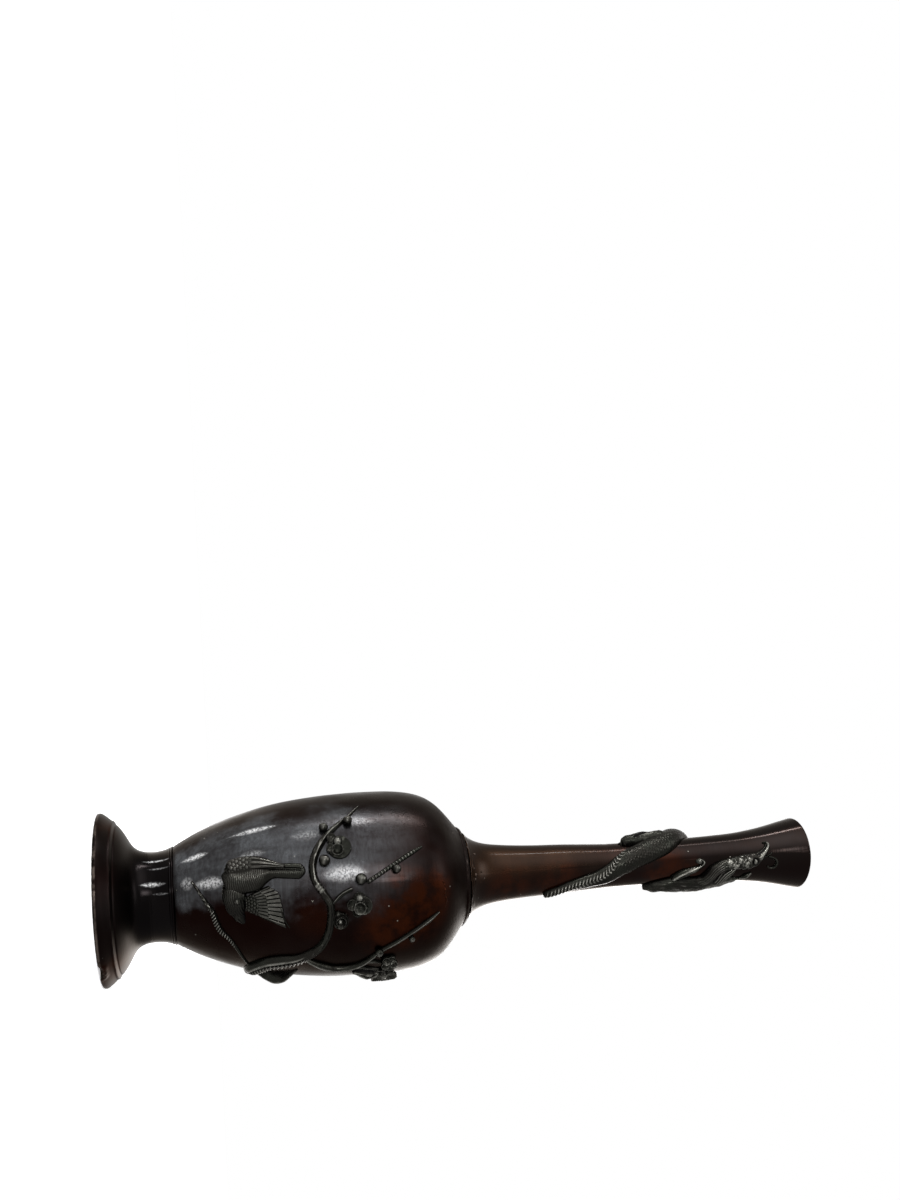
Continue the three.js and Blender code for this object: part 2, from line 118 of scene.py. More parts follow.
class PlumSizes(bpy.types.PropertyGroup):
    """Sizes of the plum branch, its blossoms and its buds."""

    trunk_width: length("Trunk width", "Width of the old wood", 0.0054)
    trunk_rise: length("Trunk rise", "How far the old wood stands off the body", 0.0026)
    branch_width: length("Branch width", "Width of the younger wood", 0.0026)
    branch_rise: length("Branch rise", "How far the younger wood stands off the body", 0.0019)
    twig_width: length("Twig width", "Width of a twig", 0.0015)
    twig_rise: length("Twig rise", "How far a twig stands off the body", 0.0012)
    tip_width: length("Tip width", "Width of a twig's tip", 0.0008)
    tip_rise: length("Tip rise", "How far a twig's tip stands off the body", 0.0006)
    spur_rise: length("Spur rise", "How far the broken spur stands off the body", 0.0036)
    blossom_radius: length("Blossom radius", "Radius of an open blossom", 0.0041)
    side_blossom_radius: length("Side blossom radius", "Radius of the blossom on the right side", 0.0046)
    small_blossom_radius: length("Small blossom radius", "Radius of a half-open blossom", 0.0028)
    blossom_rise: length("Blossom rise", "How far a blossom stands off the body", 0.0026)
    bud_radius: length("Bud radius", "Radius of a bud", 0.0018)


class BirdSizes(bpy.types.PropertyGroup):
    """Sizes of the bird."""

    width: length("Width", "Width of the bird's body", 0.0106)
    rise: length("Rise", "How far the bird's body stands off the vase", 0.0038)
    tail_width: length("Tail width", "Width of the tail", 0.0050)
    tail_rise: length("Tail rise", "How far the tail stands off the vase", 0.0016)
    head_width: length("Head width", "Width of the head", 0.0066)
    wing_width: length("Folded wing width", "Width of the near wing", 0.0052)
    wing_lift: length("Folded wing lift", "How far the near wing stands off the vase", 0.0044)
    fan_rise: length("Spread wing rise", "How far the far wing stands off the vase", 0.0013)


class DragonSizes(bpy.types.PropertyGroup):
    """Sizes of the dragon."""

    width: length("Width", "Width of the dragon's body", 0.0086)
    rise: length("Rise", "How far the dragon's body stands off the neck", 0.0040)
    tail_width: length("Tail width", "Width near the tip of the tail", 0.0028)
    tail_rise: length("Tail rise", "How far the tail stands off the neck", 0.0020)
    nape_width: length("Nape width", "Width behind the dragon's head", 0.0050)
    head_width: length("Head width", "Width of the head at its brow", 0.0054)
    head_rise: length("Head rise", "How far the head stands off the neck", 0.0030)
    snout_width: length("Snout width", "Width of the snout", 0.0030)
    leg_width: length("Leg width", "Width of a leg", 0.0034)
    leg_rise: length("Leg rise", "How far a leg stands off the neck", 0.0028)
    curl_width: length("Curl width", "Width of the curl over the head", 0.0013)
    curl_rise: length("Curl rise", "How far the curl stands off the neck", 0.0011)


class PatinaColours(bpy.types.PropertyGroup):
    """Colours of the bronze and its patina, and of the painted shade, sheen and glints on it."""

    dark: colour("Dark patina", "Main colour of the foot and body", (0.0084, 0.0065, 0.0061))
    # This colour also paints shade on the right side of the body and the neck.
    darkest_and_shade: colour("Darkest patina", "Cloudy darker parts and the right side", (0.0034, 0.0012, 0.0009))
    # Painted sheen: the grey of a broad reflection on the left of the body's front.
    grey: colour("Grey bronze", "Rubbed left side of the body's front", (0.0520, 0.0545, 0.0580))
    # Painted glints: the colour of bright painted highlights on the body and stem.
    glint: colour("Scuffed bronze", "Bright scuffed patches on the body", (0.62, 0.62, 0.62))
    brown: colour("Brown patina", "Main colour of the neck", (0.0125, 0.0064, 0.0036))
    dark_brown: colour("Dark brown patina", "Cloudy darker parts of the neck", (0.0055, 0.0024, 0.0014))
    chestnut: colour("Chestnut", "Warm patches where the patina is thin", (0.0230, 0.0055, 0.0019))
    relief: colour("Relief patina", "Main colour of the ornaments", (0.0120, 0.0124, 0.0102))
    # This colour darkens the hollows and also paints shade on the foot's stem.
    recess_and_stem_shade: colour("Recess", "Dark film in the hollows of the ornaments", (0.0032, 0.0029, 0.0030))
    rubbed: colour("Rubbed bronze", "High points that handling has rubbed light", (0.150, 0.147, 0.131))
    worn: colour("Worn edge", "Coppery edges of the foot and mouth", (0.075, 0.060, 0.052))
    speck: colour("Specks", "Pale specks on the patina", (0.200, 0.190, 0.165))


class StageSettings(bpy.types.PropertyGroup):
    """Floor, lamps and camera."""

    floor: colour("Floor", "Colour of the floor", (0.80, 0.80, 0.80))
    panel_power: power("Left panel", "Power of the broad soft lamp on the left", 6.2)
    strip_power: power("Left strip", "Power of the tall narrow lamp on the left", 2.6)
    window_power: power("Window", "Power of the tall lamp in front", 1.75)
    overhead_power: power("Overhead panel", "Power of the soft lamp overhead", 4.0)
    back_power: power("Back panel", "Power of the soft lamp behind the vase", 8.0)
    focal_length: bpy.props.FloatProperty(
        name="Focal length", description="Focal length of the camera, in millimetres", default=31.94, min=1.0
    )


def in_millimetres(group):
    """The lengths of a property group, in millimetres, by name."""
    names = [entry.identifier for entry in group.bl_rna.properties if entry.type == "FLOAT"]
    return SimpleNamespace(**{name: getattr(group, name) / MM for name in names})


# Curves and patterns

def smooth(low, high, value):
    """Smooth step: 0 up to low, 1 from high, and three squares less two cubes of the share between."""
    share = np.clip((value - low) / (high - low), 0.0, 1.0)
    return share * share * (3 - 2 * share)


def between(value, start, end, soft):
    """1 from start to end, easing to 0 within the soft width on either side."""
    return smooth(start - soft, start + soft, value) - smooth(end - soft, end + soft, value)


def bell(value, centre, width):
    """Bell curve: the exponential of minus the square of the distance over the width."""
    return np.exp(-(((value - centre) / width) ** 2))


def uneven(x, y, scale):
    """Hand-worked unevenness from -1 to 1: the mean of three sine waves that bend each other."""
    x, y = x / scale, y / scale
    first = np.sin(1.7 * x + 2.3 * np.sin(0.9 * y + 0.4))
    second = np.sin(2.1 * y + 1.9 * np.sin(1.1 * x + 0.7))
    third = np.sin(1.3 * (x + y) + 1.3 * np.sin(1.7 * (x - y)))
    return (first + second + third) / 3


def curve(start, end, leave, arrive, count):
    """Cubic Bezier curve between two (radius, height) points. leave and arrive say how far each handle
    reaches, as shares of the change in radius and in height."""
    start, end = np.array(start, float), np.array(end, float)
    first = start + np.array(leave) * (end - start)
    last = end - np.array(arrive) * (end - start)
    t = np.linspace(0, 1, count)[:, None]
    return (1 - t) ** 3 * start + 3 * (1 - t) ** 2 * t * first + 3 * (1 - t) * t**2 * last + t**3 * end


def run_along(points):
    """Distance along a line of points, from its start to each point."""
    return np.concatenate([[0], np.cumsum(np.linalg.norm(np.diff(points, axis=0), axis=1))])


def evenly_spaced(points, count):
    """That many points at even steps along a line of points."""
    run = run_along(points)
    stops = np.linspace(0, run[-1], count)
    return np.column_stack([np.interp(stops, run, points[:, 0]), np.interp(stops, run, points[:, 1])])


def evenly(outline, step):
    """The outline with a point at about every step of its length."""
    return evenly_spaced(outline, max(2, int(round(run_along(outline)[-1] / step)) + 1))


def inward(profile, wall):
    """The profile moved square to itself by a wall's thickness, towards the axis."""
    along = np.gradient(profile, axis=0)
    along /= np.linalg.norm(along, axis=1)[:, None]
    return np.column_stack([profile[:, 0] - wall * along[:, 1], profile[:, 1] + wall * along[:, 0]])


def scales(along, side, pitch, width):
    """Overlapping scales with their round tips towards the start. Rows lie a pitch apart, each moved
    half a scale aside from the last. A scale is two pitches long, 1 high at its tip and 0 at its root, and
    covers the scale before it."""
    reach = 2 * pitch
    row = np.floor(along / pitch)
    height = np.zeros(np.broadcast(along, side).shape)
    for ahead in (0, 1):
        column = side / width + 0.5 * ((row + ahead) % 2)
        offset = (column - np.round(column)) * width
        tip = along - (row + ahead + 1) * pitch + reach
        round_tip = np.clip(1 - tip / (0.6 * width), 0, 1)
        half = 0.5 * width * np.sqrt(np.clip(1 - round_tip**2, 0, 1))
        inside = np.abs(offset) < half
        height = np.where(inside, 1 - 0.9 * tip / reach - 0.9 * (offset / width) ** 2, height)
    return height


# Skins

# A closed skin. rub says how worn each vertex is: 0 in a hollow and 1 on a high point.
Shell = namedtuple("Shell", "vertices quads caps rub")


def facing_out(vertices, quads, caps, rub):
    """A shell whose faces point outwards: they are turned over if the volume they enclose is negative."""
    a, b, c, d = (vertices[quads[:, corner]] - vertices[0] for corner in range(4))
    volume = np.sum(a * np.cross(b, c)) + np.sum(a * np.cross(c, d))
    if volume < 0:
        quads = quads[:, ::-1]
        caps = [cap[::-1] for cap in caps]
    return Shell(vertices, quads, caps, rub)


def loft(rings, rub, closed=False):
    """Closed skin over rings of equally many points. Each ring joins the next; the last joins the first if
    closed, and otherwise a cap closes each end."""
    count, around = rings.shape[:2]
    number = np.arange(count * around).reshape(count, around)
    upper = np.roll(number, -1, axis=0)
    if not closed:
        upper = upper[:-1]
    lower = number[: len(upper)]
    corners = [lower, np.roll(lower, -1, axis=1), np.roll(upper, -1, axis=1), upper]
    quads = np.stack(corners, axis=-1).reshape(-1, 4)
    caps = [] if closed else [number[0][::-1].tolist(), number[-1].tolist()]
    return facing_out(rings.reshape(-1, 3), quads, caps, np.ravel(rub))


def slab(top, bottom, rub):
    """Closed skin of two grids of equal size: the upper, the lower turned over, and a skirt round both."""
    rows, columns = top.shape[:2]
    number = np.arange(rows * columns).reshape(rows, columns)
    corners = [number[:-1, :-1], number[1:, :-1], number[1:, 1:], number[:-1, 1:]]
    upper = np.stack(corners, axis=-1).reshape(-1, 4)
    rim = np.concatenate([number[0, :-1], number[:-1, -1], number[-1, :0:-1], number[:0:-1, 0]])
    after = np.roll(rim, -1)
    below = rows * columns
    skirt = np.stack([rim, after, after + below, rim + below], axis=-1)
    quads = np.concatenate([upper, upper[:, ::-1] + below, skirt])
    vertices = np.concatenate([top.reshape(-1, 3), bottom.reshape(-1, 3)])
    return facing_out(vertices, quads, [], np.concatenate([np.ravel(rub), np.zeros(below)]))


def add_piece(node, shells, material):
    """Makes one object of closed shells, in metres, which stands for the casting of that name."""
    starts = np.cumsum([0] + [len(shell.vertices) for shell in shells])
    faces = []
    for start, shell in zip(starts, shells):
        faces += (shell.quads + start).tolist()
        faces += [[int(corner + start) for corner in cap] for cap in shell.caps]
    mesh = bpy.data.meshes.new(f"{node}_casting")
    mesh.from_pydata(np.concatenate([shell.vertices for shell in shells]) * MM, [], faces)
    rub = mesh.attributes.new("rub", "FLOAT", "POINT")
    rub.data.foreach_set("value", np.concatenate([shell.rub for shell in shells]).astype(np.float32))
    mesh.polygons.foreach_set("use_smooth", np.ones(len(mesh.polygons), bool))
    mesh.materials.append(material)
    if mesh.validate():
        raise RuntimeError(f"{node}: the mesh has faulty faces")
    piece = bpy.data.objects.new(f"{node}_casting", mesh)
    bpy.context.scene.collection.objects.link(piece)
    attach(piece, "root")
    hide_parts(node)


# Turned walls and reliefs

# In millimetres: how deep a relief's underside lies in the wall, how far its edge dips below the face of the
# wall, and its least thickness.
SINK = 0.4
EDGE_DIP = 0.05
LEAST_THICKNESS = 0.02

# Fewest points along and across a relief, and the way over its crown as a share of its width.
LEAST_ROWS = 12
LEAST_COLUMNS = 10
GIRTH_OF_CROWN = 1.4

# Rub at a relief's edge, what its crown adds, and the height of detail, in millimetres, that adds 1.
EDGE_RUB = 0.16
CROWN_RUB = 0.42
DEEPEST_DETAIL = 0.5


class Wall:
    """Outer face of a turned shell. Levels count up from the shell's lower edge, which stands at base, to its
    height. Routes are laid out flat, as they would lie at the radius girth."""

    def __init__(self, profile, base, girth, height):
        self.profile = profile
        self.base = base
        self.girth = girth
        self.height = height
        self.slope = np.arctan(np.gradient(profile[:, 0], profile[:, 1]))

    def radius(self, level):
        """Radius at a level."""
        return np.interp(level, self.profile[:, 1], self.profile[:, 0])

    def lean(self, level):
        """Angle by which the face leans outwards at a level."""
        return np.interp(level, self.profile[:, 1], self.slope)

    def place(self, level, turn, up, aside, out):
        """Points a distance up the face, aside along it and out from it, counted from a level and a turn."""
        level = level + up * np.cos(self.lean(level))
        lean = self.lean(level)
        radius = self.radius(level)
        turn = turn + aside / radius
        reach = radius + out * np.cos(lean)
        height = self.base + level - out * np.sin(lean)
        return np.stack(np.broadcast_arrays(reach * np.sin(turn), -reach * np.cos(turn), height), axis=-1)

    def spot(self, percent, degrees):
        """Level and turn of a spot given as percent of the shell's height and degrees round it."""
        return percent / 100 * self.height, np.radians(degrees)

    def route(self, spots, count):
        """Centripetal Catmull-Rom curve through spots, as (girth, level) at even steps of its length.
        Knots lie the square root of each distance apart, and each stretch blends its four nearest stops."""
        level, turn = self.spot(*np.array(spots, float).T)
        stops = np.column_stack([turn * self.girth, level])
        stops = np.vstack([2 * stops[0] - stops[1], stops, 2 * stops[-1] - stops[-2]])
        knots = np.concatenate([[0], np.cumsum(np.linalg.norm(np.diff(stops, axis=0), axis=1) ** 0.5)])
        t = np.linspace(knots[1], knots[-2], 60 * len(spots))
        first = np.clip(np.searchsorted(knots, t, side="right") - 2, 0, len(spots) - 2)
        stop = [stops[first + i] for i in range(4)]
        knot = [knots[first + i] for i in range(4)]

        def mix(a, b, i, j):
            """Straight blend of two stops from knot i to knot j."""
            share = ((t - knot[i]) / (knot[j] - knot[i]))[:, None]
            return a + (b - a) * share

        pairs = [mix(stop[i], stop[i + 1], i, i + 1) for i in range(3)]
        threes = [mix(pairs[i], pairs[i + 1], i, i + 2) for i in range(2)]
        return evenly_spaced(mix(threes[0], threes[1], 1, 2), count)


def eased(stations, share):
    """Width and rise at shares of a route: a smooth step between stations of (share, width, rise)."""
    stations = np.array(stations, float)
    before = np.clip(np.searchsorted(stations[:, 0], share, side="right") - 1, 0, len(stations) - 2)
    low, high = stations[before], stations[before + 1]
    part = smooth(0, 1, (share - low[:, 0]) / (high[:, 0] - low[:, 0]))[:, None]
    size = low[:, 1:] + (high[:, 1:] - low[:, 1:]) * part
    return size[:, 0], size[:, 1]


def shares(*stations):
    """Stations given as a share of the route, shares of a width and of a rise, and that (width, rise)."""
    return [(share, wide * size[0], high * size[1]) for share, wide, high, size in stations]


def strip(wall, spots, stations, detail=None, crown=2.0, step=0.3, lift=0.0):
    """Relief carried along a route on a wall.

    Across the route it is a superellipse: the crown-th root of one less the crown-th power of the distance
    from the middle, times the rise. Each end is rounded off over half its width. detail adds a height in
    millimetres at each point of the grid. lift raises the underside in the middle, clear of the wall.
    """
    widest = max(station[1] for station in stations)
    coarse = wall.route(spots, 200)
    sidewards = np.diff(coarse[:, 0]) * wall.radius(coarse[1:, 1]) / wall.girth
    run = np.sum(np.hypot(sidewards, np.diff(coarse[:, 1])))
    rows = max(LEAST_ROWS, int(run / step))
    columns = max(LEAST_COLUMNS, int(GIRTH_OF_CROWN * widest / step))
    path = wall.route(spots, rows)
    level = path[:, 1]
    turn = path[:, 0] / wall.girth
    heading = np.gradient(path, axis=0)
    sideways = heading[:, 0] * wall.radius(level) / wall.girth
    upwards = heading[:, 1] / np.cos(wall.lean(level))
    stride = np.hypot(sideways, upwards)
    along = np.cumsum(stride) - stride[0]
    share = np.linspace(0, 1, rows)
    width, rise = eased(stations, share)
    for distance, end in ((along, 0), (along[-1] - along, -1)):
        near = np.clip(1 - distance / (0.5 * width[end] + 0.01), 0, 1)
        ending = np.sqrt(np.clip(1 - near**2, 0.01, 1))
        width = width * ending
        rise = rise * ending**0.5
    across = np.sin(np.linspace(-0.5, 0.5, columns) * np.pi)
    grid = SimpleNamespace(
        along=along[:, None],
        share=share[:, None],
        across=across[None, :],
        side=0.5 * width[:, None] * across,
        run=along[-1],
        width=width[:, None],
    )
    dome = np.clip(1 - np.abs(grid.across) ** crown, 0, 1) ** (1 / crown)
    extra = detail(grid) * np.minimum(1, 2.5 * dome) if detail else 0.0
    out = rise[:, None] * dome + extra - EDGE_DIP
    aside = grid.side * (upwards / stride)[:, None]
    up = -grid.side * (sideways / stride)[:, None]
    top = wall.place(level[:, None], turn[:, None], up, aside, out)
    under = -SINK + lift * np.sin(np.pi * grid.share) ** 0.5
    bottom = wall.place(level[:, None], turn[:, None], up, aside, np.minimum(under, out - LEAST_THICKNESS))
    rub = np.clip(EDGE_RUB + CROWN_RUB * dome + extra / DEEPEST_DETAIL, 0, 1)
    return slab(top, bottom, np.broadcast_to(rub, out.shape))


def boss(wall, place, reach, height, rub, base_share=0.7):
    """Round relief on a spot. reach[i, j] and height[i, j] give ring i from the middle outwards at angle j;
    the skin then turns in to base_share of the outer ring and runs down into the wall."""
    level, turn = wall.spot(*place)
    around = np.linspace(0, 2 * np.pi, reach.shape[1], endpoint=False)[None, :]
    reach = np.vstack([reach, base_share * reach[-1:], base_share * reach[-1:], 0.02 * reach[-1:]])
    edge = np.zeros_like(height[:1])
    height = np.vstack([height, edge, edge - SINK, edge - SINK])
    rub = np.vstack([rub, np.zeros((3, rub.shape[1]))])
    rings = wall.place(level, turn, reach * np.sin(around), reach * np.cos(around), height)
    return loft(rings, rub)


# Vessel

# Facets round each turned casting.
FOOT_FACETS = 256
PLATE_FACETS = 160
BODY_FACETS = 320
NECK_FACETS = 224

# In millimetres: how far the body's sockets lie inside its joints, their depth, and the height and wall of
# the spigots that enter them.
SOCKET_INSET = 3.0
SOCKET_DEPTH = 4.0
SPIGOT_HEIGHT = 5.0
SPIGOT_WALL = 2.0

# Points of a profile that are finely divided, at the body's collar and at the neck's root.
COLLAR_POINTS = 30
ROOT_POINTS = 40

# A spot is (percent of the shell's height, degrees round it). The run of solder lies on the body's shoulder.
# A drop is its spot on the neck's root and its radius in millimetres.
SOLDER_RUN = [(87.6, 2), (88.5, 7), (88.2, 11), (88.9, 16), (88.1, 21)]
SOLDER_DROPS = [
    ((1.5, -9), 0.45), ((1.9, 1), 0.75), ((1.6, 6), 0.5), ((3.6, -4), 0.35), ((4.4, 7), 0.3),
    ((2.3, -32), 0.4), ((3.4, 13), 0.25),
]


def body_face(sizes):
    """Outer face of the body, from its lower edge to its collar."""
    height = (BODY_HIGH.z - BODY_LOW.z) / MM
    belly = (sizes.belly_radius, sizes.belly_height)
    collar = (sizes.collar_radius, height - 1.2)
    lower = curve((sizes.joint_radius, 0), belly, (0.31, 0.126), (0, 0.6), 220)
    shoulder = curve(belly, collar, (0, 0.72), (0.69, 0.255), 160)
    return Wall(np.vstack([lower, shoulder[1:]]), BODY_LOW.z / MM, sizes.belly_radius, height)


def neck_face(sizes):
    """Outer face of the neck, from its root on the collar to the edge of the mouth."""
    base = BODY_HIGH.z / MM + SOLDER
    height = NECK_HIGH.z / MM - base
    waist = (sizes.waist_radius, sizes.waist_height)
    lower = curve((sizes.root_radius, 0.6), waist, (0.84, 0.12), (0.26, 0.777), 220)
    upper = curve(waist, (sizes.mouth_radius, height - 0.5), (0.02, 0.79), (0.73, 0.248), 220)
    return Wall(np.vstack([lower, upper[1:]]), base, sizes.waist_radius, height)


def turned(outline, facets, finish):
    """Closed surface of revolution: every point of the outline at every turn round the axis.
    finish(radius, height, turn) may change each radius and height, and says how rubbed each point is."""
    turn = np.linspace(0, 2 * np.pi, facets, endpoint=False)[None, :]
    radius = np.repeat(outline[:, :1], facets, axis=1)
    height = np.repeat(outline[:, 1:], facets, axis=1)
    radius, height, rub = finish(radius, height, turn)
    return np.stack([radius * np.sin(turn), -radius * np.cos(turn), height], axis=-1), rub


def make_foot(sizes):
    """Foot: a sloping band, a fine bead, an ogee and a stem, turned about the axis, with a chipped edge."""
    top = BODY_LOW.z / MM - SOLDER
    flare_start = (sizes.band_radius - 0.4, sizes.band_height + 0.4)
    stem_waist = (sizes.stem_radius, sizes.stem_height)
    flare = curve(flare_start, stem_waist, (0.57, 0.47), (0, 0.7), 80)
    stem = curve(stem_waist, (sizes.joint_radius, top), (0, 0.55), (0.37, 0.28), 40)
    face = np.vstack([flare, stem[1:]])
    seat = sizes.plate_radius + SOLDER
    spigot = sizes.joint_radius - (SOCKET_INSET + SOLDER)
    spigot_bore = spigot - SPIGOT_WALL
    ledge = PLATE_HIGH.z / MM + SOLDER
    band_start = (sizes.rim_radius - 0.1, 1.0)
    band_end = (sizes.band_radius, sizes.band_height)
    edge = curve((sizes.rim_radius - 0.8, 0), band_start, (1.1, 0), (0, 0.6), 8)
    band = curve(band_start, band_end, (0.25, 0.4), (0.3, 0.3), 12)
    outer = evenly(np.vstack([[(seat, 0)], edge, band[1:], face]), step=0.18)
    inner = inward(face, sizes.foot_wall)
    hollow = (inner[:, 1] > ledge + 1) & (inner[:, 0] < seat) & (inner[:, 0] > spigot_bore)
    inner = inner[hollow][::-12]
    above = [(spigot, top), (spigot, top + SPIGOT_HEIGHT), (spigot_bore, top + SPIGOT_HEIGHT)]
    below = [(inner[-1, 0], ledge), (seat, ledge), (seat, 0.3)]
    outline = np.vstack([outer, evenly(np.vstack([above, inner, below]), step=1.5)])
    outside = np.arange(len(outline))[:, None] < len(outer)

    def finish(radius, height, turn):
        """Bell curves make the bead, rings and groove, and the chip and dents lift the lower edge."""
        bead = 0.34 * bell(height, sizes.band_height + 0.25, 0.32)
        bead = bead - 0.22 * bell(height, sizes.band_height + 1.0, 0.22)
        rings = 0.13 * bell(height, top - 1.05, 0.14) + 0.16 * bell(height, top - 0.35, 0.14)
        groove = 0.12 * bell(height, top - 0.7, 0.12)
        wobble = 0.05 * uneven(turn * 20, height, 7.0) * smooth(5, 9, height)
        degrees = np.degrees(turn)
        chip = between(degrees, 47.0, 60.0, 1.4) * (0.8 + 0.3 * np.sin(degrees * 1.9))
        dents = 0.12 * bell(degrees, 328, 1.2) + 0.10 * bell(degrees, 345, 0.8)
        dents = dents + 0.08 * uneven(degrees, degrees, 2.0)
        near_rim = smooth(sizes.rim_radius - 3.5, sizes.rim_radius - 2.2, radius)
        lower_edge = smooth(3.4, 0.0, height) * near_rim
        lifted = height + outside * lower_edge * (1.5 * chip + np.clip(dents, 0, 1))
        shaped = radius + outside * (bead * (radius > 20) + rings - groove + wobble)
        rub = 0.5 + 0.5 * bell(height, 0.6, 0.5) * (radius > sizes.rim_radius - 1.6)
        rub = rub + 0.18 * bell(height, sizes.band_height + 0.25, 0.3) - 0.45 * bell(height, top - 0.7, 0.2)
        return shaped, lifted, np.where(outside, rub - 0.3 * chip * lower_edge, 0.4)

    return loft(*turned(outline, FOOT_FACETS, finish), closed=True)


def make_plate(sizes):
    """Plate let into the foot: a disc whose lower face is a little uneven and has two fine turned rings."""
    low, high = PLATE_LOW.z / MM, PLATE_HIGH.z / MM
    radius = sizes.plate_radius
    under = np.column_stack([np.linspace(0.1, radius - 0.5, 60), np.full(60, low)])
    edge = [(radius - 0.15, low + 0.1), (radius, low + 0.4), (radius, high), (0.1, high)]
    outline = np.vstack([under, edge])

    def finish(radius, height, turn):
        """Bell curves lift the lower face in two rings, and sine waves make it uneven."""
        below = height < low + 0.01
        rings = 0.14 * bell(radius, 15.0, 0.5) + 0.10 * bell(radius, 6.0, 0.4)
        rings = rings + 0.05 * uneven(radius, turn * 9, 2.5)
        return radius, height + below * np.clip(rings, 0, 0.4), np.full_like(height, 0.5)

    return loft(*turned(outline, PLATE_FACETS, finish))


def make_body(sizes):
    """Body: an egg-shaped shell turned about the axis, with a thin uneven lip at its collar and the line
    that a run of solder left on its shoulder."""
    wall = body_face(sizes)
    socket_below = sizes.joint_radius - SOCKET_INSET
    socket_above = sizes.root_radius - SOCKET_INSET
    lip = [(sizes.collar_radius, wall.height - 0.7), (sizes.collar_radius - 0.4, wall.height - 0.1)]
    collar = np.vstack([wall.profile[-COLLAR_POINTS:], lip])
    outer = np.vstack([evenly(wall.profile[:-COLLAR_POINTS], step=0.48), evenly(collar, step=0.22)])
    inner = inward(wall.profile, sizes.body_wall)
    inner = inner[(inner[:, 1] > 4.2) & (inner[:, 1] < wall.height - 4.2)][::-1]
    above = [
        (sizes.collar_radius - 0.7, wall.height),
        (socket_above, wall.height),
        (socket_above, wall.height - SOCKET_DEPTH),
    ]
    below = [(socket_below, SOCKET_DEPTH), (socket_below, -0.25), (sizes.joint_radius - 0.2, -0.25)]
    outline = np.vstack([outer, evenly(np.vstack([above, inner, below]), step=2.6)])
    outside = np.arange(len(outline))[:, None] < len(outer)

    def finish(radius, height, turn):
        """Bell curves make the lip and the line above the stem, and sine waves make the wall uneven."""
        rough = uneven(turn * 16, 3.0, 2.2)
        lip_line = bell(height, wall.height - 1.0 + 0.25 * rough, 0.28)
        foot_line = bell(height, 0.25, 0.2)
        wobble = 0.10 * uneven(turn * 26, height, 11.0) + 0.035 * uneven(turn * 30, 0.6 * height, 3.0)
        shaped = radius + outside * (0.3 * (0.8 + 0.4 * rough) * lip_line + wobble - 0.1 * foot_line)
        rub = 0.5 + 0.3 * lip_line * (0.6 + 0.6 * rough) - 0.4 * foot_line
        return shaped, wall.base + height, np.where(outside, np.clip(rub, 0, 1), 0.35)

    def blobs(grid):
        """Product of two sine waves along the run of solder."""
        return 0.12 * np.sin(grid.along * 3.1) * np.sin(grid.along * 1.3 + 0.6)

    scar = strip(wall, SOLDER_RUN, [(0, 0.5, 0.08), (0.4, 0.8, 0.16), (1, 0.6, 0.12)], blobs, step=0.2)
    return [loft(*turned(outline, BODY_FACETS, finish), closed=True), scar]


def make_neck(sizes):
    """Neck: a long trumpet turned about the axis, slightly out of true, with an uneven soldered edge at its
    root and drops of solder above it."""
    wall = neck_face(sizes)
    spigot = sizes.root_radius - (SOCKET_INSET + SOLDER)
    spigot_bore = spigot - SPIGOT_WALL
    root = [(sizes.root_radius - 0.9, -SOLDER), (sizes.root_radius - 0.1, 0.1)]
    lip_start = (sizes.mouth_radius, wall.height - 0.5)
    lip_end = (sizes.mouth_radius - 0.55, wall.height)
    rim = curve(lip_start, lip_end, (0, 0.9), (0.9, 0), 6)
    start = np.vstack([root, wall.profile[:ROOT_POINTS]])
    rest = wall.profile[ROOT_POINTS:]
    outer = np.vstack([evenly(start, step=0.16), evenly(rest, step=0.5)[1:], rim[1:]])
    inner = inward(wall.profile, sizes.neck_wall)
    narrow = np.minimum(inner[:, 0], spigot_bore)
    inner[:, 0] = np.where(inner[:, 1] < sizes.waist_height, narrow, inner[:, 0])
    inner = inner[(inner[:, 1] > 1) & (inner[:, 1] < wall.height - 0.6)][::-1]
    mouth = [(sizes.mouth_radius - sizes.neck_wall + 0.5, wall.height - 0.05), inner[0]]
    below = [(spigot_bore, -SPIGOT_HEIGHT), (spigot, -SPIGOT_HEIGHT), (spigot, -SOLDER)]
    outline = np.vstack([outer, evenly(np.vstack([mouth, inner, below]), step=1.6)])
    outside = np.arange(len(outline))[:, None] < len(outer)

    def finish(radius, height, turn):
        """Bell curves make the soldered edge and a broken line above it, and sine waves bend the wall."""
        rough = uneven(turn * 14 + 5.0, 1.0, 1.6)
        edge = bell(height, 0.35 + 0.35 * rough, 0.33)
        second = bell(height, 1.5 + 0.5 * rough, 0.22) * smooth(-0.2, 0.5, uneven(turn * 14, 7.0, 2.0))
        wobble = 0.075 * uneven(turn * 5, height, 9.0) + 0.05 * uneven(turn * 7, height + 40, 22.0)
        seam = 0.42 * (0.75 + 0.5 * rough) * edge + 0.16 * second
        shaped = radius + outside * (seam + wobble * smooth(1, 6, height))
        # Rub on the soldered edge and the line above it gives them the worn colour: partly wear, partly a
        # painted highlight along the joint.
        rub = 0.5 + 0.35 * edge * rough + 0.2 * second
        rub = rub + 0.35 * smooth(wall.height - 0.9, wall.height - 0.1, height)
        return shaped, wall.base + height, np.clip(np.where(outside, rub, 0.4), 0, 1)

    drops = [make_bead(wall, spot, radius, flatness=0.5) for spot, radius in SOLDER_DROPS]
    return [loft(*turned(outline, NECK_FACETS, finish), closed=True), *drops]


def make_bead(wall, spot, radius, flatness=1.0):
    """Half a ball on a wall: at angle a from its pole it reaches radius times sin a and rises by cos a."""
    pole = np.linspace(0.02, 0.5 * np.pi, 12)[:, None] * np.ones((1, 24))
    return boss(wall, spot, radius * np.sin(pole), flatness * radius * np.cos(pole), np.full_like(pole, 0.8))


# Plum branch

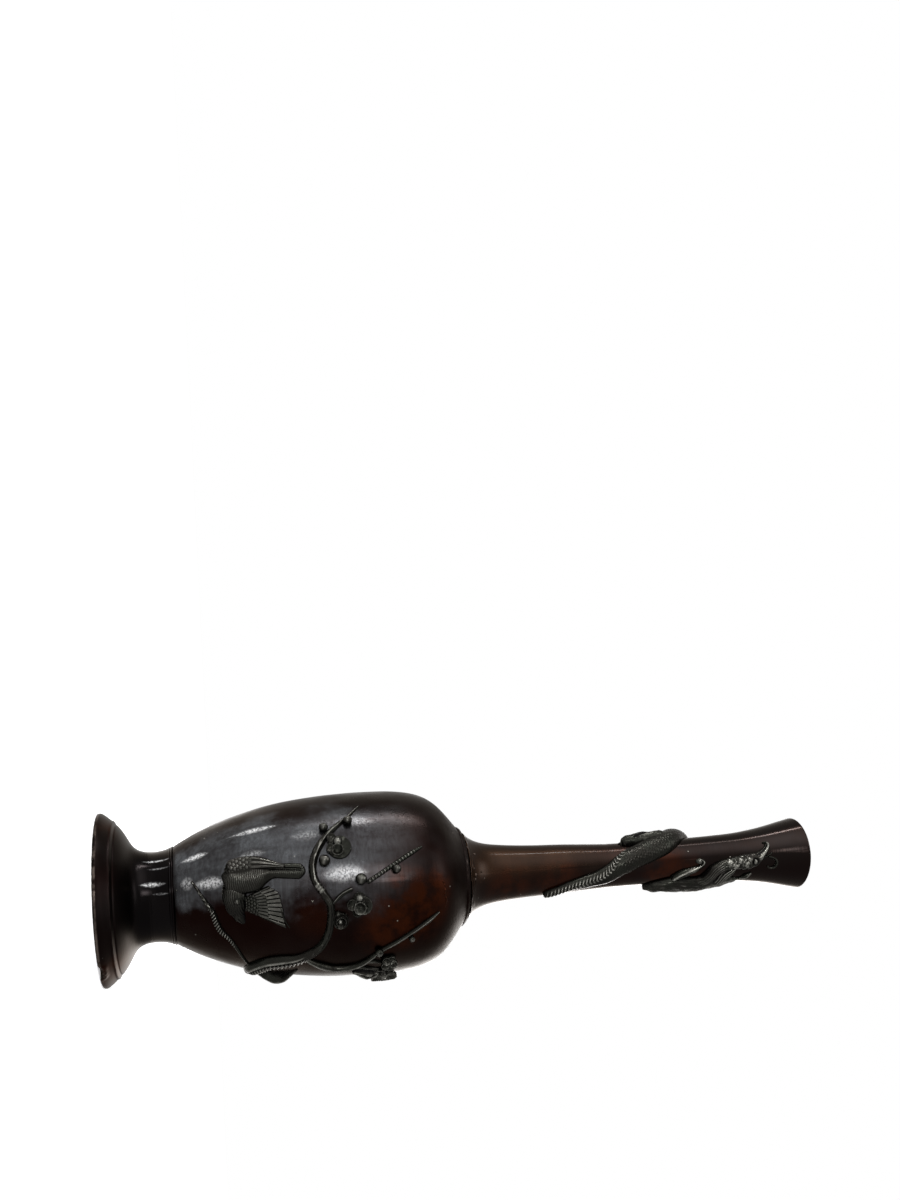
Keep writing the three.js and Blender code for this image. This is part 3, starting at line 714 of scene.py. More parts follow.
# Routes of the wood, as spots on the body.
MAIN_BRANCH = [
    (22.5, 83), (25.5, 68), (29.5, 58.5), (34, 54.5), (38.5, 51.5), (42.5, 46.5), (46.2, 39.5), (48.5, 31),
    (49.6, 21), (49.6, 12), (48, 6), (45.1, -3), (44.5, -11), (45.8, -19.5), (49.6, -30), (53.6, -37),
    (57.6, -43.5), (62, -52.5),
]
BRANCH_SPUR = [(23.6, 80), (27, 84), (30.5, 85), (34.5, 81), (39, 66)]
RIGHT_BRANCH = [(40.4, 49), (43.6, 54), (47.4, 58), (51.4, 61), (57, 60), (60.8, 56), (64.9, 47.4)]
FRONT_SHOOT = [(61.6, 0.4), (81.3, -19.8)]
RIGHT_SHOOT = [(66.4, 44.8), (86, 22.5)]
BLOSSOM_TWIG = [(50.3, 11.5), (53.3, 6.2), (57, 3)]
LOW_TWIG = [
    (23, 66), (19.1, 46), (17, 38), (14.4, 31), (13.2, 24), (12.1, 15.5), (9.3, 4), (7.6, -4), (5.8, -12),
]


def old_wood(grid):
    """Bark: on the trunk a smooth cord on the left, slanting ribs beside it and a plain band on the right;
    further on a groove along the branch, three knuckles, a keel on the upper side and faint unevenness."""
    trunk = between(grid.share, 0.06, 0.30, 0.03)
    slant = grid.along / 1.3 + grid.side * 0.35
    ribs = 0.34 * np.sin(2 * np.pi * slant) * between(grid.across, -0.35, 0.62, 0.08)
    cord = 0.25 * bell(grid.across, -0.52, 0.14) - 0.38 * bell(grid.across, -0.30, 0.06)
    groove = -0.26 * bell(grid.across, 0.18, 0.16) * between(grid.share, 0.34, 0.56, 0.03)
    knuckles = 0.30 * np.sum([bell(grid.share, centre, 0.0045) for centre in (0.600, 0.612, 0.624)], axis=0)
    bark = 0.10 * uneven(grid.along, grid.side * 3, 1.1) * smooth(0.26, 0.36, grid.share)
    root = 0.25 * uneven(grid.along, grid.side, 1.6) * smooth(0.10, 0.04, grid.share)
    keel = 0.18 * bell(grid.across, 0.35, 0.18) * smooth(0.56, 0.64, grid.share)
    return trunk * (ribs + cord) + groove + knuckles + bark + root + keel


def beaded(grid):
    """Small even swellings along a shoot."""
    return 0.13 * np.cos(2 * np.pi * grid.along / 1.15) * smooth(0.95, 0.8, grid.share)


def ridged(grid):
    """A sharp keel along a shoot."""
    return 0.32 * bell(grid.across, -0.32, 0.17) - 0.10


def rough_twig(grid):
    """Short slanting cuts on the middle of the twig, and a broken surface towards its end."""
    slant = grid.along / 0.95 - grid.side * 0.5
    cuts = 0.26 * np.sin(2 * np.pi * slant) * between(grid.share, 0.28, 0.66, 0.05)
    broken = 0.24 * uneven(grid.along, grid.side * 2, 0.6) * smooth(0.5, 0.7, grid.share)
    return cuts + broken


def plain_wood(grid):
    """A ridge and a groove along the wood, and a faint unevenness."""
    ridge_and_groove = 0.22 * bell(grid.across, -0.35, 0.18) - 0.22 * bell(grid.across, 0.2, 0.2)
    return ridge_and_groove + 0.06 * uneven(grid.along, grid.side * 3, 1.2)


def make_branches(sizes, wall):
    """The strips of wood of the plum branch, by the name of their casting."""
    trunk, branch = (sizes.trunk_width, sizes.trunk_rise), (sizes.branch_width, sizes.branch_rise)
    twig, tip = (sizes.twig_width, sizes.twig_rise), (sizes.tip_width, sizes.tip_rise)
    main = shares(
        (0, 0.7, 0.6, trunk), (0.08, 1, 1, trunk), (0.2, 0.95, 1, trunk), (0.3, 0.65, 0.8, trunk),
        (0.42, 1, 1, branch), (0.75, 1, 1, branch), (1, 1, 1, tip),
    )
    spur = [(0, *tip), (0.45, twig[0], sizes.spur_rise), (1, *tip)]
    right = [(0, *twig), (0.3, 0.8 * branch[0], branch[1]), (1, *twig)]
    shoot = [(0, *twig), (0.8, *twig), (1, *tip)]
    blossom_twig = [(0, *tip), (0.4, *twig), (1, *twig)]
    low = [(0, *tip), (0.35, 0.8 * twig[0], tip[1]), (0.5, 0.72 * branch[0], twig[1]), (1, *tip)]
    return {
        "main_branch": [strip(wall, MAIN_BRANCH, main, old_wood, crown=1.7, step=0.15)],
        "branch_spur": [strip(wall, BRANCH_SPUR, spur, plain_wood, step=0.15, lift=1.6)],
        "right_branch": [strip(wall, RIGHT_BRANCH, right, plain_wood, step=0.15)],
        "blossom_twig": [strip(wall, BLOSSOM_TWIG, blossom_twig, plain_wood, step=0.12)],
        "low_twig": [strip(wall, LOW_TWIG, low, rough_twig, step=0.15)],
        "front_shoot": [strip(wall, FRONT_SHOOT, shoot, beaded, step=0.12)],
        "right_shoot": [strip(wall, RIGHT_SHOOT, shoot, ridged, step=0.12)],
    }


# A petal is (aside, up, radius, hollow, rim): its centre and radius as shares of the blossom's radius, and
# the heights of its hollow and its rim as shares of the blossom's rise. A heart is the same, with its hollow
# above its rim. A blossom is its spot on the body, the name of its radius and its petals.
FIVE_PETALS = [
    (0.52 * np.sin(turn), 0.52 * np.cos(turn), 0.47, 0.42, 0.88 + 0.06 * np.cos(2 * turn))
    for turn in np.radians([10, 82, 154, 226, 298])
]
BLOSSOMS = {
    "left_blossom": ((53.4, -22), "blossom_radius", [
        (0.04, 0.08, 0.92, 0.28, 0.52), (0.30, -0.10, 0.46, 0.30, 0.90), (-0.66, -0.46, 0.38, 0.35, 0.66),
        (-0.36, -0.04, 0.36, 1.00, 0.55), (0.10, -0.62, 0.34, 0.45, 0.70),
    ]),
    "front_blossom": ((58.9, 12), "blossom_radius", [
        (0.10, 0.30, 0.70, 0.34, 0.80), (0.28, 0.02, 0.48, 0.36, 0.96), (0.02, -0.56, 0.42, 0.40, 0.76),
        (0.60, -0.20, 0.36, 0.34, 0.62), (-0.46, 0.02, 0.46, 0.45, 0.70), (-0.48, 0.02, 0.33, 1.04, 0.60),
    ]),
    "small_blossom": ((52.6, 21), "small_blossom_radius", [
        (0.06, 0.04, 0.92, 0.30, 0.60), (0.16, 0.10, 0.58, 0.34, 0.84), (0.04, -0.02, 0.30, 1.00, 0.55),
        (-0.70, -0.24, 0.36, 0.72, 0.40),
    ]),
    "right_blossom": ((69.3, 55), "small_blossom_radius", [*FIVE_PETALS, (0.0, 0.0, 0.42, 0.10, 0.78)]),
    "side_blossom": ((68.6, 74), "side_blossom_radius", [*FIVE_PETALS, (0.0, 0.0, 0.28, 1.02, 0.50)]),
}

# Routes of the half-closed blossom under the one on the right side, and of the short stalks from the right
# branch to the blossoms beside it.
DROOPING_BLOSSOM = [(66.5, 70), (63.5, 71), (60.5, 70), (57.5, 69)]
STALKS = {
    "right_blossom": [(61.6, 54.4), (64.4, 55.6), (67.4, 57.4)],
    "side_blossom": [(56.6, 60.2), (61.6, 62.6), (66.6, 67.4)],
}

# Points round a blossom and a bud, and rings from their middle outwards.
BLOSSOM_FACETS = 128
BLOSSOM_RINGS = 44
BUD_FACETS = 48
BUD_RINGS = 30


def make_blossom(wall, spot, petals, radius, rise):
    """Blossom over its petals: at each point the highest petal shows.

    A petal is a dish: it rises from its hollow to its rim with the square of the distance from its centre,
    and falls away outside. The outline follows the petals: in each direction it lies where the ray from the
    middle leaves the last petal. The whole leans to face the front: it rises towards the side by half the
    sine of its degrees round the vase.
    """
    around = np.linspace(0, 2 * np.pi, BLOSSOM_FACETS, endpoint=False)
    across, up = np.cos(around), np.sin(around)
    exits = []
    for aside, above, size, *_ in petals:
        nearest = aside * across + above * up
        room = size**2 - (aside**2 + above**2 - nearest**2)
        exits.append(np.where(room > 0, nearest + np.sqrt(np.clip(room, 0, None)), 0))
    outline = np.maximum(np.max(exits, axis=0), 0.3)
    ring = np.linspace(0.02, 1, BLOSSOM_RINGS)[:, None] * outline[None, :]
    x, y = ring * across, ring * up
    height = np.full_like(ring, 0.18)
    for aside, above, size, hollow, rim in petals:
        distance = np.hypot(x - aside, y - above) / size
        dish = hollow + (rim - hollow) * np.clip(distance, 0, 1) ** 2
        veins = 0.02 * np.cos(9 * np.arctan2(y - above, x - aside)) * np.clip(distance, 0, 1)
        height = np.maximum(height, (dish + veins) * (1 - smooth(0.93, 1.07, distance)))
    rub = np.clip(0.85 * height + 0.08, 0, 1)
    height = np.clip(height + 0.5 * np.sin(np.radians(spot[1])) * x, 0.08, 1.05)
    return boss(wall, spot, radius * ring, rise * height, rub, base_share=0.8)


def make_drooping_blossom(sizes, wall):
    """Half-closed blossom that droops: a tapering strip with folds along it."""
    size = (sizes.side_blossom_radius, sizes.blossom_rise)
    stations = shares((0, 0.9, 0.7, size), (0.4, 1.3, 0.95, size), (1, 0.3, 0.3, size))

    def folds(grid):
        """Three folds side by side, the cosine of the distance across, and unevenness."""
        return 0.3 * np.cos(3 * np.pi * grid.across + 0.6) + 0.2 * uneven(grid.along, grid.side, 0.9)

    return strip(wall, DROOPING_BLOSSOM, stations, folds, step=0.14)


def make_stalk(sizes, wall, path):
    """Plain thin strip of wood from the branch to a blossom."""
    twig, tip = (sizes.twig_width, sizes.twig_rise), (sizes.tip_width, sizes.tip_rise)
    return strip(wall, path, shares((0, 0.8, 0.8, twig), (1, 1, 1, tip)), plain_wood, step=0.14)


# A bud is its spot on the body and its share of the full radius.
BUDS = {
    "front_shoot_base_bud": ((59.8, -2), 1.0),
    "front_shoot_bud": ((71.7, -6.5), 0.78),
    "right_shoot_base_bud": ((65.6, 45), 0.75),
    "right_shoot_bud": ((76.4, 37.3), 0.55),
    "left_low_bud": ((49.2, -35.5), 0.82),
    "left_tip_bud": ((57.4, -39), 0.82),
    "left_mid_bud": ((48.5, -14), 1.0),
}


def make_bud(wall, spot, radius):
    """Round bud: a ball cut off at its neck, with three shallow folds from its pole and a small point."""
    cut = 0.83
    pole = np.linspace(0.03, np.pi - np.arccos(cut), BUD_RINGS)[:, None]
    around = np.linspace(0, 2 * np.pi, BUD_FACETS, endpoint=False)[None, :]
    folds = 0.045 * np.cos(3 * around + 0.8) * np.sin(pole) ** 2 * smooth(1.9, 0.4, pole)
    reach = radius * (1 + folds) * np.sin(pole)
    height = radius * ((1 + folds) * np.cos(pole) + cut + 0.05 * bell(pole, 0, 0.25))
    rub = np.clip(0.25 + 0.55 * np.cos(pole) + 6 * folds, 0, 1)
    return boss(wall, spot, reach, height, rub, base_share=1.0)


# Bird

# Routes of the bird's parts, as spots on the body.
BIRD_BODY = [
    (42.2, -8.8), (40.3, -9.5), (36, -10.5), (32.4, -11.3), (28.5, -11), (24.2, -9.5), (20, -9.5),
    (15.6, -12.5),
]
BIRD_HEAD = [(19.6, -5), (19.3, 3), (19.4, 9), (19.9, 14), (20.8, 19.5), (22.0, 24)]
FOLDED_WING = [(36, -12.8), (32, -14.5), (28, -15.8), (22, -16.8), (16.8, -14.5)]
BIRD_TOE = [(16.6, -7), (15.9, -1), (15.9, 5), (16.6, 11), (17.8, 17)]
FAN_ROOT = (21.2, 9.0)
FAN_EDGE = [(33.2, 5), (33.7, 10), (34.0, 14.5), (34.8, 20), (36.4, 26)]


def plumage(grid):
    """Tail with long grooves, and a breast hatched with fine barbs."""
    tail = smooth(0.46, 0.38, grid.share)
    grooves = -0.45 * bell(grid.across, 0.30, 0.06) - 0.40 * bell(grid.across, 0.04, 0.05)
    barbs = 0.08 * np.sin(2 * np.pi * (grid.along / 0.62 + np.abs(grid.across - 0.17) * 1.5))
    breast = between(grid.share, 0.47, 0.97, 0.03) * smooth(0.25, 0.05, grid.across)
    hatch = 0.13 * np.sin(2 * np.pi * (grid.along / 0.56 + 0.25 * np.sin(grid.side * 1.2)))
    return tail * (grooves * smooth(0.02, 0.08, grid.share) + barbs) + breast * hatch


def wing_feathers(grid):
    """Long flight feathers with grooves between them, then rows of round coverts on the shoulder."""
    flight = smooth(0.56, 0.50, grid.share)
    grooves = -0.34 * np.abs(np.cos(np.pi * (2.0 * grid.across + 0.5))) ** 6
    coverts = 0.26 * scales(grid.along, grid.side, 1.0, 1.35) - 0.10
    return flight * (grooves + 0.1) + (1 - flight) * coverts


def head_feathers(grid):
    """Fine combed feathers, a round cheek on the upper side and a slit along the beak."""
    combed = 0.11 * np.cos(2 * np.pi * (grid.side / 0.70 + 0.2 * np.sin(grid.along * 1.3)))
    from_cheek = np.hypot((grid.share - 0.42) * grid.run, grid.side + 1.5)
    cheek = 0.22 * bell(from_cheek, 0, 0.6) - 0.12 * bell(from_cheek, 1.0, 0.25)
    slit = -0.25 * bell(grid.side, 0.1, 0.14) * smooth(0.78, 0.84, grid.share)
    return combed * smooth(0.8, 0.7, grid.share) + cheek + slit - 0.16 * smooth(0.25, 0.85, grid.share)


def make_bird(sizes, plum, wall):
    """Bird: body with tail, head and near wing, each a strip of relief, and a thin toe."""
    tail, full = (sizes.tail_width, sizes.tail_rise), (sizes.width, sizes.rise)
    brow, near_wing = (sizes.head_width, sizes.rise), (sizes.wing_width, sizes.wing_lift)
    tip = (plum.tip_width, plum.tip_rise)
    body = shares(
        (0, 0.8, 0.7, tail), (0.08, 1, 1, tail), (0.36, 0.95, 1, tail), (0.62, 1, 1, full),
        (0.84, 1, 1, full), (1, 0.3, 0.3, full),
    )
    head = shares(
        (0, 1.3, 0.85, brow), (0.30, 1.2, 0.8, brow), (0.55, 1, 0.65, brow), (0.80, 0.60, 0.42, brow),
        (1, 2, 1, tip),
    )
    wing = shares(
        (0, 0.3, 0.5, near_wing), (0.5, 1, 1, near_wing), (0.85, 1, 1, near_wing), (1, 0.4, 0.5, near_wing),
    )
    toe = [(0, plum.tip_width, plum.twig_rise), (1, 0.7 * plum.tip_width, plum.tip_rise)]
    return [
        strip(wall, BIRD_BODY, body, plumage, crown=2.4, step=0.14),
        strip(wall, BIRD_HEAD, head, head_feathers, crown=1.8, step=0.12),
        strip(wall, FOLDED_WING, wing, wing_feathers, crown=2.6, step=0.12),
        strip(wall, BIRD_TOE, toe, beaded, step=0.15),
    ]


def make_spread_wing(sizes, wall):
    """Far wing: a fan of feathers from a short root below it, with a raised leading edge.

    Along a feather the grid runs from the root to the tip, and across the fan over its angle. A row of
    feathers is a set of blades with narrow gaps, where the sine of the angle crosses zero. The second row
    stands on the first, moved half a feather aside, and rows of round coverts stand on the second.
    """
    level, turn = wall.spot(*FAN_ROOT)
    spread = np.linspace(0, 1, 240)[None, :]
    out_share = np.linspace(0, 1, 140)[:, None]
    angle = np.radians(-32 + 64 * spread)
    feathers = 10
    phase = np.pi * feathers * spread
    blade = smooth(0.05, 0.55, np.abs(np.sin(phase)))
    between_blades = smooth(0.05, 0.55, np.abs(np.cos(phase)))
    roots = 1.6
    tips = 10.6 + 2.4 * smooth(0, 0.35, spread) + 1.2 * smooth(0.4, 0.8, spread) - 0.45 * (1 - blade)
    tips = tips + 2.6 * smooth(0.75, 1.02, spread)
    reach = roots + (tips - roots) * out_share
    aside = reach * np.sin(angle) + 2.6 * (spread - 0.5) * (1 - out_share)
    second = smooth(0.63, 0.60, out_share + 0.04 * (1 - between_blades))
    third = smooth(0.38, 0.35, out_share + 0.04 * (1 - blade))
    coverts = scales(40 - reach, angle * 6, 0.9, 1.15)
    first_row = (0.25 + 0.55 * blade) * (1.05 - 0.35 * out_share)
    second_row = 0.30 + 0.55 * between_blades
    third_row = 0.40 + 0.60 * coverts
    height = first_row * (1 - second) + second * (1 - third) * second_row + third * third_row
    from_sides = np.minimum(spread, 1 - spread)
    from_ends = np.minimum(out_share, 1 - out_share)
    edge = np.minimum(1, 14 * np.minimum(from_sides, from_ends * 3))
    out = sizes.fan_rise * height * edge - EDGE_DIP
    up = reach * np.cos(angle)
    top = wall.place(level, turn, up, aside, out)
    bottom = wall.place(level, turn, up, aside, np.minimum(-SINK, out - LEAST_THICKNESS))
    shine = blade * (1 - second) * 0.78 + second * (1 - third) * between_blades * 0.72
    shine = shine + third * coverts * 0.8
    leading = strip(wall, FAN_EDGE, [(0, 0.35, 0.5), (0.5, 0.7, 0.9), (1, 0.3, 0.35)], step=0.12)
    return [slab(top, bottom, shine * edge), leading]


# Dragon

# Routes of the dragon's parts, as spots on the neck. Claws head that many degrees round from straight up.
DRAGON_COIL = [
    (22.2, 69), (23.6, 61), (26.2, 53), (30.1, 43), (34.2, 35), (38.2, 27), (41.2, 16), (43.9, 2),
    (47.1, -11), (50.4, -22), (54.0, -35), (57.6, -49), (60.4, -68), (62.8, -92), (66.5, -130), (69.2, -180),
    (69.7, -230), (69, -272),
]
DRAGON_HEAD = [
    (65, 70), (69.2, 60), (70.7, 46), (72.1, 30), (74.2, 20), (76.7, 15), (79.3, 13), (82, 11.5),
    (84.3, 6.5), (85.9, -1), (87.2, -9), (88.0, -17), (87.9, -24), (86.9, -27),
]
MANE = [(78.8, 23), (77.2, 32), (75.6, 45), (74.4, 60), (73.2, 78)]
HIND_LEG = [(61.5, -74), (57.5, -68), (53.5, -69), (49.5, -73), (46.2, -72)]
HIND_PAW = (46.8, -72)
CLAW_HEADINGS = (70, 120, 170)
FORELEG = [
    (59.5, 50), (61, 41), (62.2, 35), (64.6, 28), (66.8, 22), (68.3, 15), (68.7, 7), (67.9, 1), (66.7, 3.5),
    (66.6, 9),
]
FORE_PAW = (67.6, 6.5)
HANGING_LEG = [(74, 75), (70, 75), (66.5, 73.5), (63.5, 71), (60.5, 68), (57.3, 71), (54.6, 79), (52.2, 87)]
DRAGON_FIN = [(70.5, 78), (74, 74), (77.5, 68), (80.5, 60)]
HEAD_CURL = [(87.9, 4), (89.8, 9), (90.4, 16), (89.9, 25), (88.4, 28), (87.7, 23)]
WHISKER = [(89.2, -3), (87.6, 3), (86.0, 9)]
EAR = [(83.4, 40), (82, 50), (80.4, 59)]


def dragon_hide(grid):
    """A crest of chevrons on the left of the tail beside a plain flank. The crest runs off over the lower
    edge as the body swells, and small uneven scales cover the thick part."""
    crest_line = -0.34 - 0.6 * smooth(0.24, 0.42, grid.share)
    offset = (grid.across - crest_line) * grid.width / 2
    chevron = (grid.along - 0.9 * np.abs(offset)) / 1.28
    strokes = (0.5 + 0.5 * np.cos(2 * np.pi * chevron)) ** 1.5 * bell(offset, -0.1, 0.75)
    crest = (0.72 * strokes - 0.17 * bell(offset, -0.1, 0.75)) * smooth(0.46, 0.34, grid.share)
    side = grid.side + 0.15 * uneven(grid.along, grid.side, 1.5)
    scaled = 0.30 * scales(grid.along, side, 0.95, 1.2) - 0.24
    thick = smooth(0.24, 0.36, grid.share)
    plain = -0.22 * smooth(0.5, 1.2, offset) * (1 - thick)
    return smooth(0.0, 0.03, grid.share) * (crest + plain + scaled * smooth(0.7, 1.5, offset) * thick)


def dragon_face(grid):
    """Nape combed with fine lines, lumped cheeks, a round brow over the eye, a ridged snout and a line of
    the mouth."""
    def lump(share, side, size, height):
        """Bell-shaped lump at a share of the route and a distance aside."""
        return height * bell(np.hypot((grid.share - share) * grid.run, grid.side - side), 0, size)

    nape = 0.13 * np.cos(2 * np.pi * grid.side / 0.62) * smooth(0.46, 0.38, grid.share)
    cheeks = lump(0.47, -0.7, 0.8, 0.5) + lump(0.53, 0.8, 0.8, 0.55) + lump(0.58, -0.9, 0.7, 0.5)
    cheeks = cheeks + lump(0.64, 0.5, 0.7, 0.45) + lump(0.68, -0.8, 0.6, 0.5)
    pits = 0.20 * uneven(grid.along, grid.side, 0.45) * between(grid.share, 0.44, 0.70, 0.04)
    from_eye = np.hypot((grid.share - 0.735) * grid.run, grid.side - 0.35)
    eye = 0.65 * bell(from_eye, 0, 0.55) - 0.42 * bell(from_eye, 0.95, 0.22)
    snout = 0.35 * bell(grid.across, 0.15, 0.35) * between(grid.share, 0.79, 0.95, 0.03)
    nostril = lump(0.945, 0.2, 0.4, 0.35)
    mouth = -0.35 * bell(grid.across, -0.45, 0.16) * smooth(0.76, 0.80, grid.share)
    return nape + cheeks + pits + eye + snout + nostril + mouth


def leg_hide(grid):
    """Fine scales on a leg and a deep slit that crosses it slantwise."""
    middle = 0.75 - 2.1 * (grid.share - 0.2)
    slit = -0.9 * bell(grid.across, middle, 0.16) * between(grid.share, 0.16, 0.74, 0.06)
    bone = 0.14 * bell(grid.across, middle - 0.45, 0.25) * between(grid.share, 0.2, 0.7, 0.08)
    return 0.20 * scales(grid.along, grid.side, 0.8, 1.0) - 0.17 + slit + bone


def flowing(grid):
    """Fine lines that run along a limb, with one stronger ridge."""
    lines = 0.07 * np.cos(2 * np.pi * grid.side / 0.60) + 0.10 * uneven(grid.along, grid.side * 2, 1.2)
    return lines + 0.32 * bell(grid.across, -0.40, 0.22)


def combed(grid):
    """Deep lines between the locks of a mane."""
    return 0.20 * np.cos(2 * np.pi * (grid.side / 0.85 + 0.3 * np.sin(grid.along * 0.8)))


def make_claws(wall, spot, headings, reach, width):
    """Curved claws from one spot: thin tapering strips, each bent downwards along its heading in degrees."""
    stations = [(0, width, 1.1 * width), (1, 0.3 * width, 0.4 * width)]
    claws = []
    for heading in np.radians(headings):
        degrees = np.degrees(reach * np.sin(heading) / wall.radius(spot[0] / 100 * wall.height))
        percent = 100 * reach * np.cos(heading) / wall.height
        bend = (spot[0] + 0.6 * percent - 0.25, spot[1] + 0.5 * degrees)
        spots = [spot, bend, (spot[0] + percent, spot[1] + degrees)]
        claws.append(strip(wall, spots, stations, step=0.12))
    return claws


def make_dragon(sizes, plum, wall):
    """The pieces of the dragon, by the name of their casting."""
    tail, full = (sizes.tail_width, sizes.tail_rise), (sizes.width, sizes.rise)
    leg, tip = (sizes.leg_width, sizes.leg_rise), (plum.tip_width, plum.tip_rise)
    head, curl = (sizes.head_width, sizes.head_rise), (sizes.curl_width, sizes.curl_rise)
    nape, snout = (sizes.nape_width, sizes.head_rise), (sizes.snout_width, sizes.head_rise)

    coil = shares(
        (0, 0.9, 0.9, tail), (0.05, 1.05, 1.1, tail), (0.12, 0.46, 0.58, full), (0.20, 0.56, 0.68, full),
        (0.29, 0.72, 0.82, full), (0.40, 0.88, 0.95, full), (0.55, 1, 1, full), (0.8, 0.95, 0.95, full),
        (0.93, 0.7, 0.6, full), (1, 0.5, 0.3, full),
    )
    face = shares(
        (0, 0.6, 0.6, nape), (0.12, 0.9, 0.8, nape), (0.28, 0.92, 0.88, nape), (0.46, 0.84, 0.95, nape),
        (0.56, 0.88, 1, head), (0.65, 1.04, 1.05, head), (0.74, 0.96, 1.05, head), (0.80, 0.72, 1, head),
        (0.86, 1, 0.75, snout), (0.92, 0.75, 0.55, snout), (1, 1, 1, tip),
    )
    hind = shares(
        (0, 1, 0.9, leg), (0.25, 1.7, 1.5, leg), (0.55, 1.6, 1.5, leg), (0.85, 1.25, 1.1, leg),
        (1, 0.9, 0.8, leg),
    )
    fore = shares(
        (0, 0.6, 0.6, leg), (0.25, 0.8, 0.8, leg), (0.5, 0.68, 0.7, leg), (0.7, 1, 1.2, curl),
        (1, 1, 1, tip),
    )
    hanging = shares(
        (0, 1.2, 0.8, leg), (0.3, 1.85, 1.25, leg), (0.6, 1.75, 1.25, leg), (0.85, 1.2, 1, leg),
        (1, 0.4, 0.6, leg),
    )
    fin = shares((0, 1.5, 1.1, leg), (0.4, 1.4, 0.85, leg), (0.75, 1.0, 0.45, leg), (1, 1, 1, tip))
    lock = shares((0, 0.5, 0.35, leg), (0.3, 1.2, 0.55, leg), (0.7, 1.5, 0.75, leg), (1, 1.3, 0.8, leg))
    hair = shares((0, 0.8, 1, tip), (0.6, 0.7, 0.95, tip), (1, 0.4, 0.5, tip))
    hook = shares((0, 0.7, 0.9, curl), (0.5, 0.8, 1, curl), (1, 1, 1, tip))
    ear = shares((0, 0.6, 0.8, tip), (0.5, 2, 2.1, tip), (1, 0.5, 0.6, tip))
    return {
        "dragon_coil": [strip(wall, DRAGON_COIL, coil, dragon_hide, step=0.17)],
        "dragon_head": [
            strip(wall, DRAGON_HEAD, face, dragon_face, step=0.1),
            strip(wall, MANE, lock, combed, step=0.12),
            strip(wall, WHISKER, hair, step=0.12),
        ],
        "dragon_hind_leg": [
            strip(wall, HIND_LEG, hind, leg_hide, step=0.12),
            *make_claws(wall, HIND_PAW, CLAW_HEADINGS, reach=2.0, width=0.9),
        ],
        "dragon_foreleg": [
            strip(wall, FORELEG, fore, flowing, step=0.1),
            make_bead(wall, FORE_PAW, radius=1.05),
        ],
        "dragon_hanging_leg": [strip(wall, HANGING_LEG, hanging, flowing, step=0.12)],
        "dragon_curl": [strip(wall, HEAD_CURL, hook, step=0.1)],
        "dragon_fin": [
            strip(wall, DRAGON_FIN, fin, flowing, step=0.12),
            strip(wall, EAR, ear, flowing, step=0.12),
        ],
    }


# Patina

# Roughness of the wax, and the colour that bare bronze reflects where it is seen edge on.
WAX_ROUGHNESS = 0.06
EDGE_TINT = (0.63, 0.61, 0.59, 1.0)

# Shine of the patina's film where it doesn't shine as metal does, on the vessel and on the ornaments.
VESSEL_GLOSS = 0.1
RELIEF_GLOSS = 0.05

# Shares that shine as bare metal does: in the painted grey sheen on the left of the body's front, and on the
# ornaments.
SHEEN_METAL = 0.75
RELIEF_METAL = 0.7

# Weight of the wax on the neck; the foot and body have none.
NECK_WAX = 0.06

# A patch of thin patina is its spot on the wall, its radius in metres and its strength. Those on the foot's
# rim have their place in metres.
BODY_PATCHES = [
    ((76, 20), 0.017, 0.9),
    ((84, 9), 0.011, 0.7),
    ((68, 30), 0.013, 0.7),
    ((45, 20), 0.010, 0.2),
    ((60, 165), 0.024, 0.7),
    ((35, -140), 0.020, 0.5),
]
NECK_PATCHES = [
    ((12, 36), 0.012, 0.7),
    ((26, 40), 0.012, 0.8),
    ((58, 32), 0.012, 0.9),
    ((66, 20), 0.006, 0.5),
    ((45, 200), 0.020, 0.6),
]
RIM_PATCHES = [
    ((0.0235, -0.0135, 0.004), 0.011, 0.55),
    ((-0.0250, -0.0120, 0.003), 0.009, 0.5),
]

# A painted glint is its level in metres, its degrees round the vase, its reach aside in degrees, its reach up
# and down in metres, the share of it that fades and its strength.
PAINTED_GLINTS = [
    (0.0767, -6, 8.0, 0.0085, 1.0, 0.18),
    (0.0829, -39, 5.5, 0.0060, 1.0, 0.05),
    (0.0659, -33, 5.5, 0.0065, 1.0, 0.16),
    (0.0485, -25, 4.0, 0.0050, 1.0, 0.26),
    (0.0494, -45, 3.2, 0.0092, 0.9, 0.70),
    (0.0350, -8.0, 7.0, 0.0060, 0.9, 0.60),
    (0.0305, -35.5, 4.4, 0.0050, 0.9, 0.90),
    (0.0279, -10.5, 9.0, 0.0026, 1.0, 0.45),
    (0.0182, -49, 2.6, 0.0050, 0.9, 0.80),
    (0.0190, -36, 2.0, 0.0042, 1.0, 0.25),
    (0.0196, -3, 2.0, 0.0030, 1.0, 0.22),
    (0.0172, -15, 4.4, 0.0046, 1.0, 0.60),
]


def add_node(tree, kind, inputs=None, **settings):
    """Adds a node. Inputs are values, or sockets to link, by the input's name or number."""
    node = tree.nodes.new(kind)
    for name, value in settings.items():
        setattr(node, name, value)
    for name, value in (inputs or {}).items():
        if isinstance(value, bpy.types.NodeSocket):
            tree.links.new(value, node.inputs[name])
        else:
            node.inputs[name].default_value = value
    return node


def maths(tree, operation, first, second):
    """Arithmetic on two values."""
    return add_node(tree, "ShaderNodeMath", {0: first, 1: second}, operation=operation).outputs[0]


def vector_maths(tree, operation, first, second=(0, 0, 0)):
    """Arithmetic on two vectors, whose result is a vector or a value."""
    outputs = add_node(tree, "ShaderNodeVectorMath", {0: first, 1: second}, operation=operation).outputs
    return outputs["Value"] if operation in ("LENGTH", "DOT_PRODUCT") else outputs["Vector"]


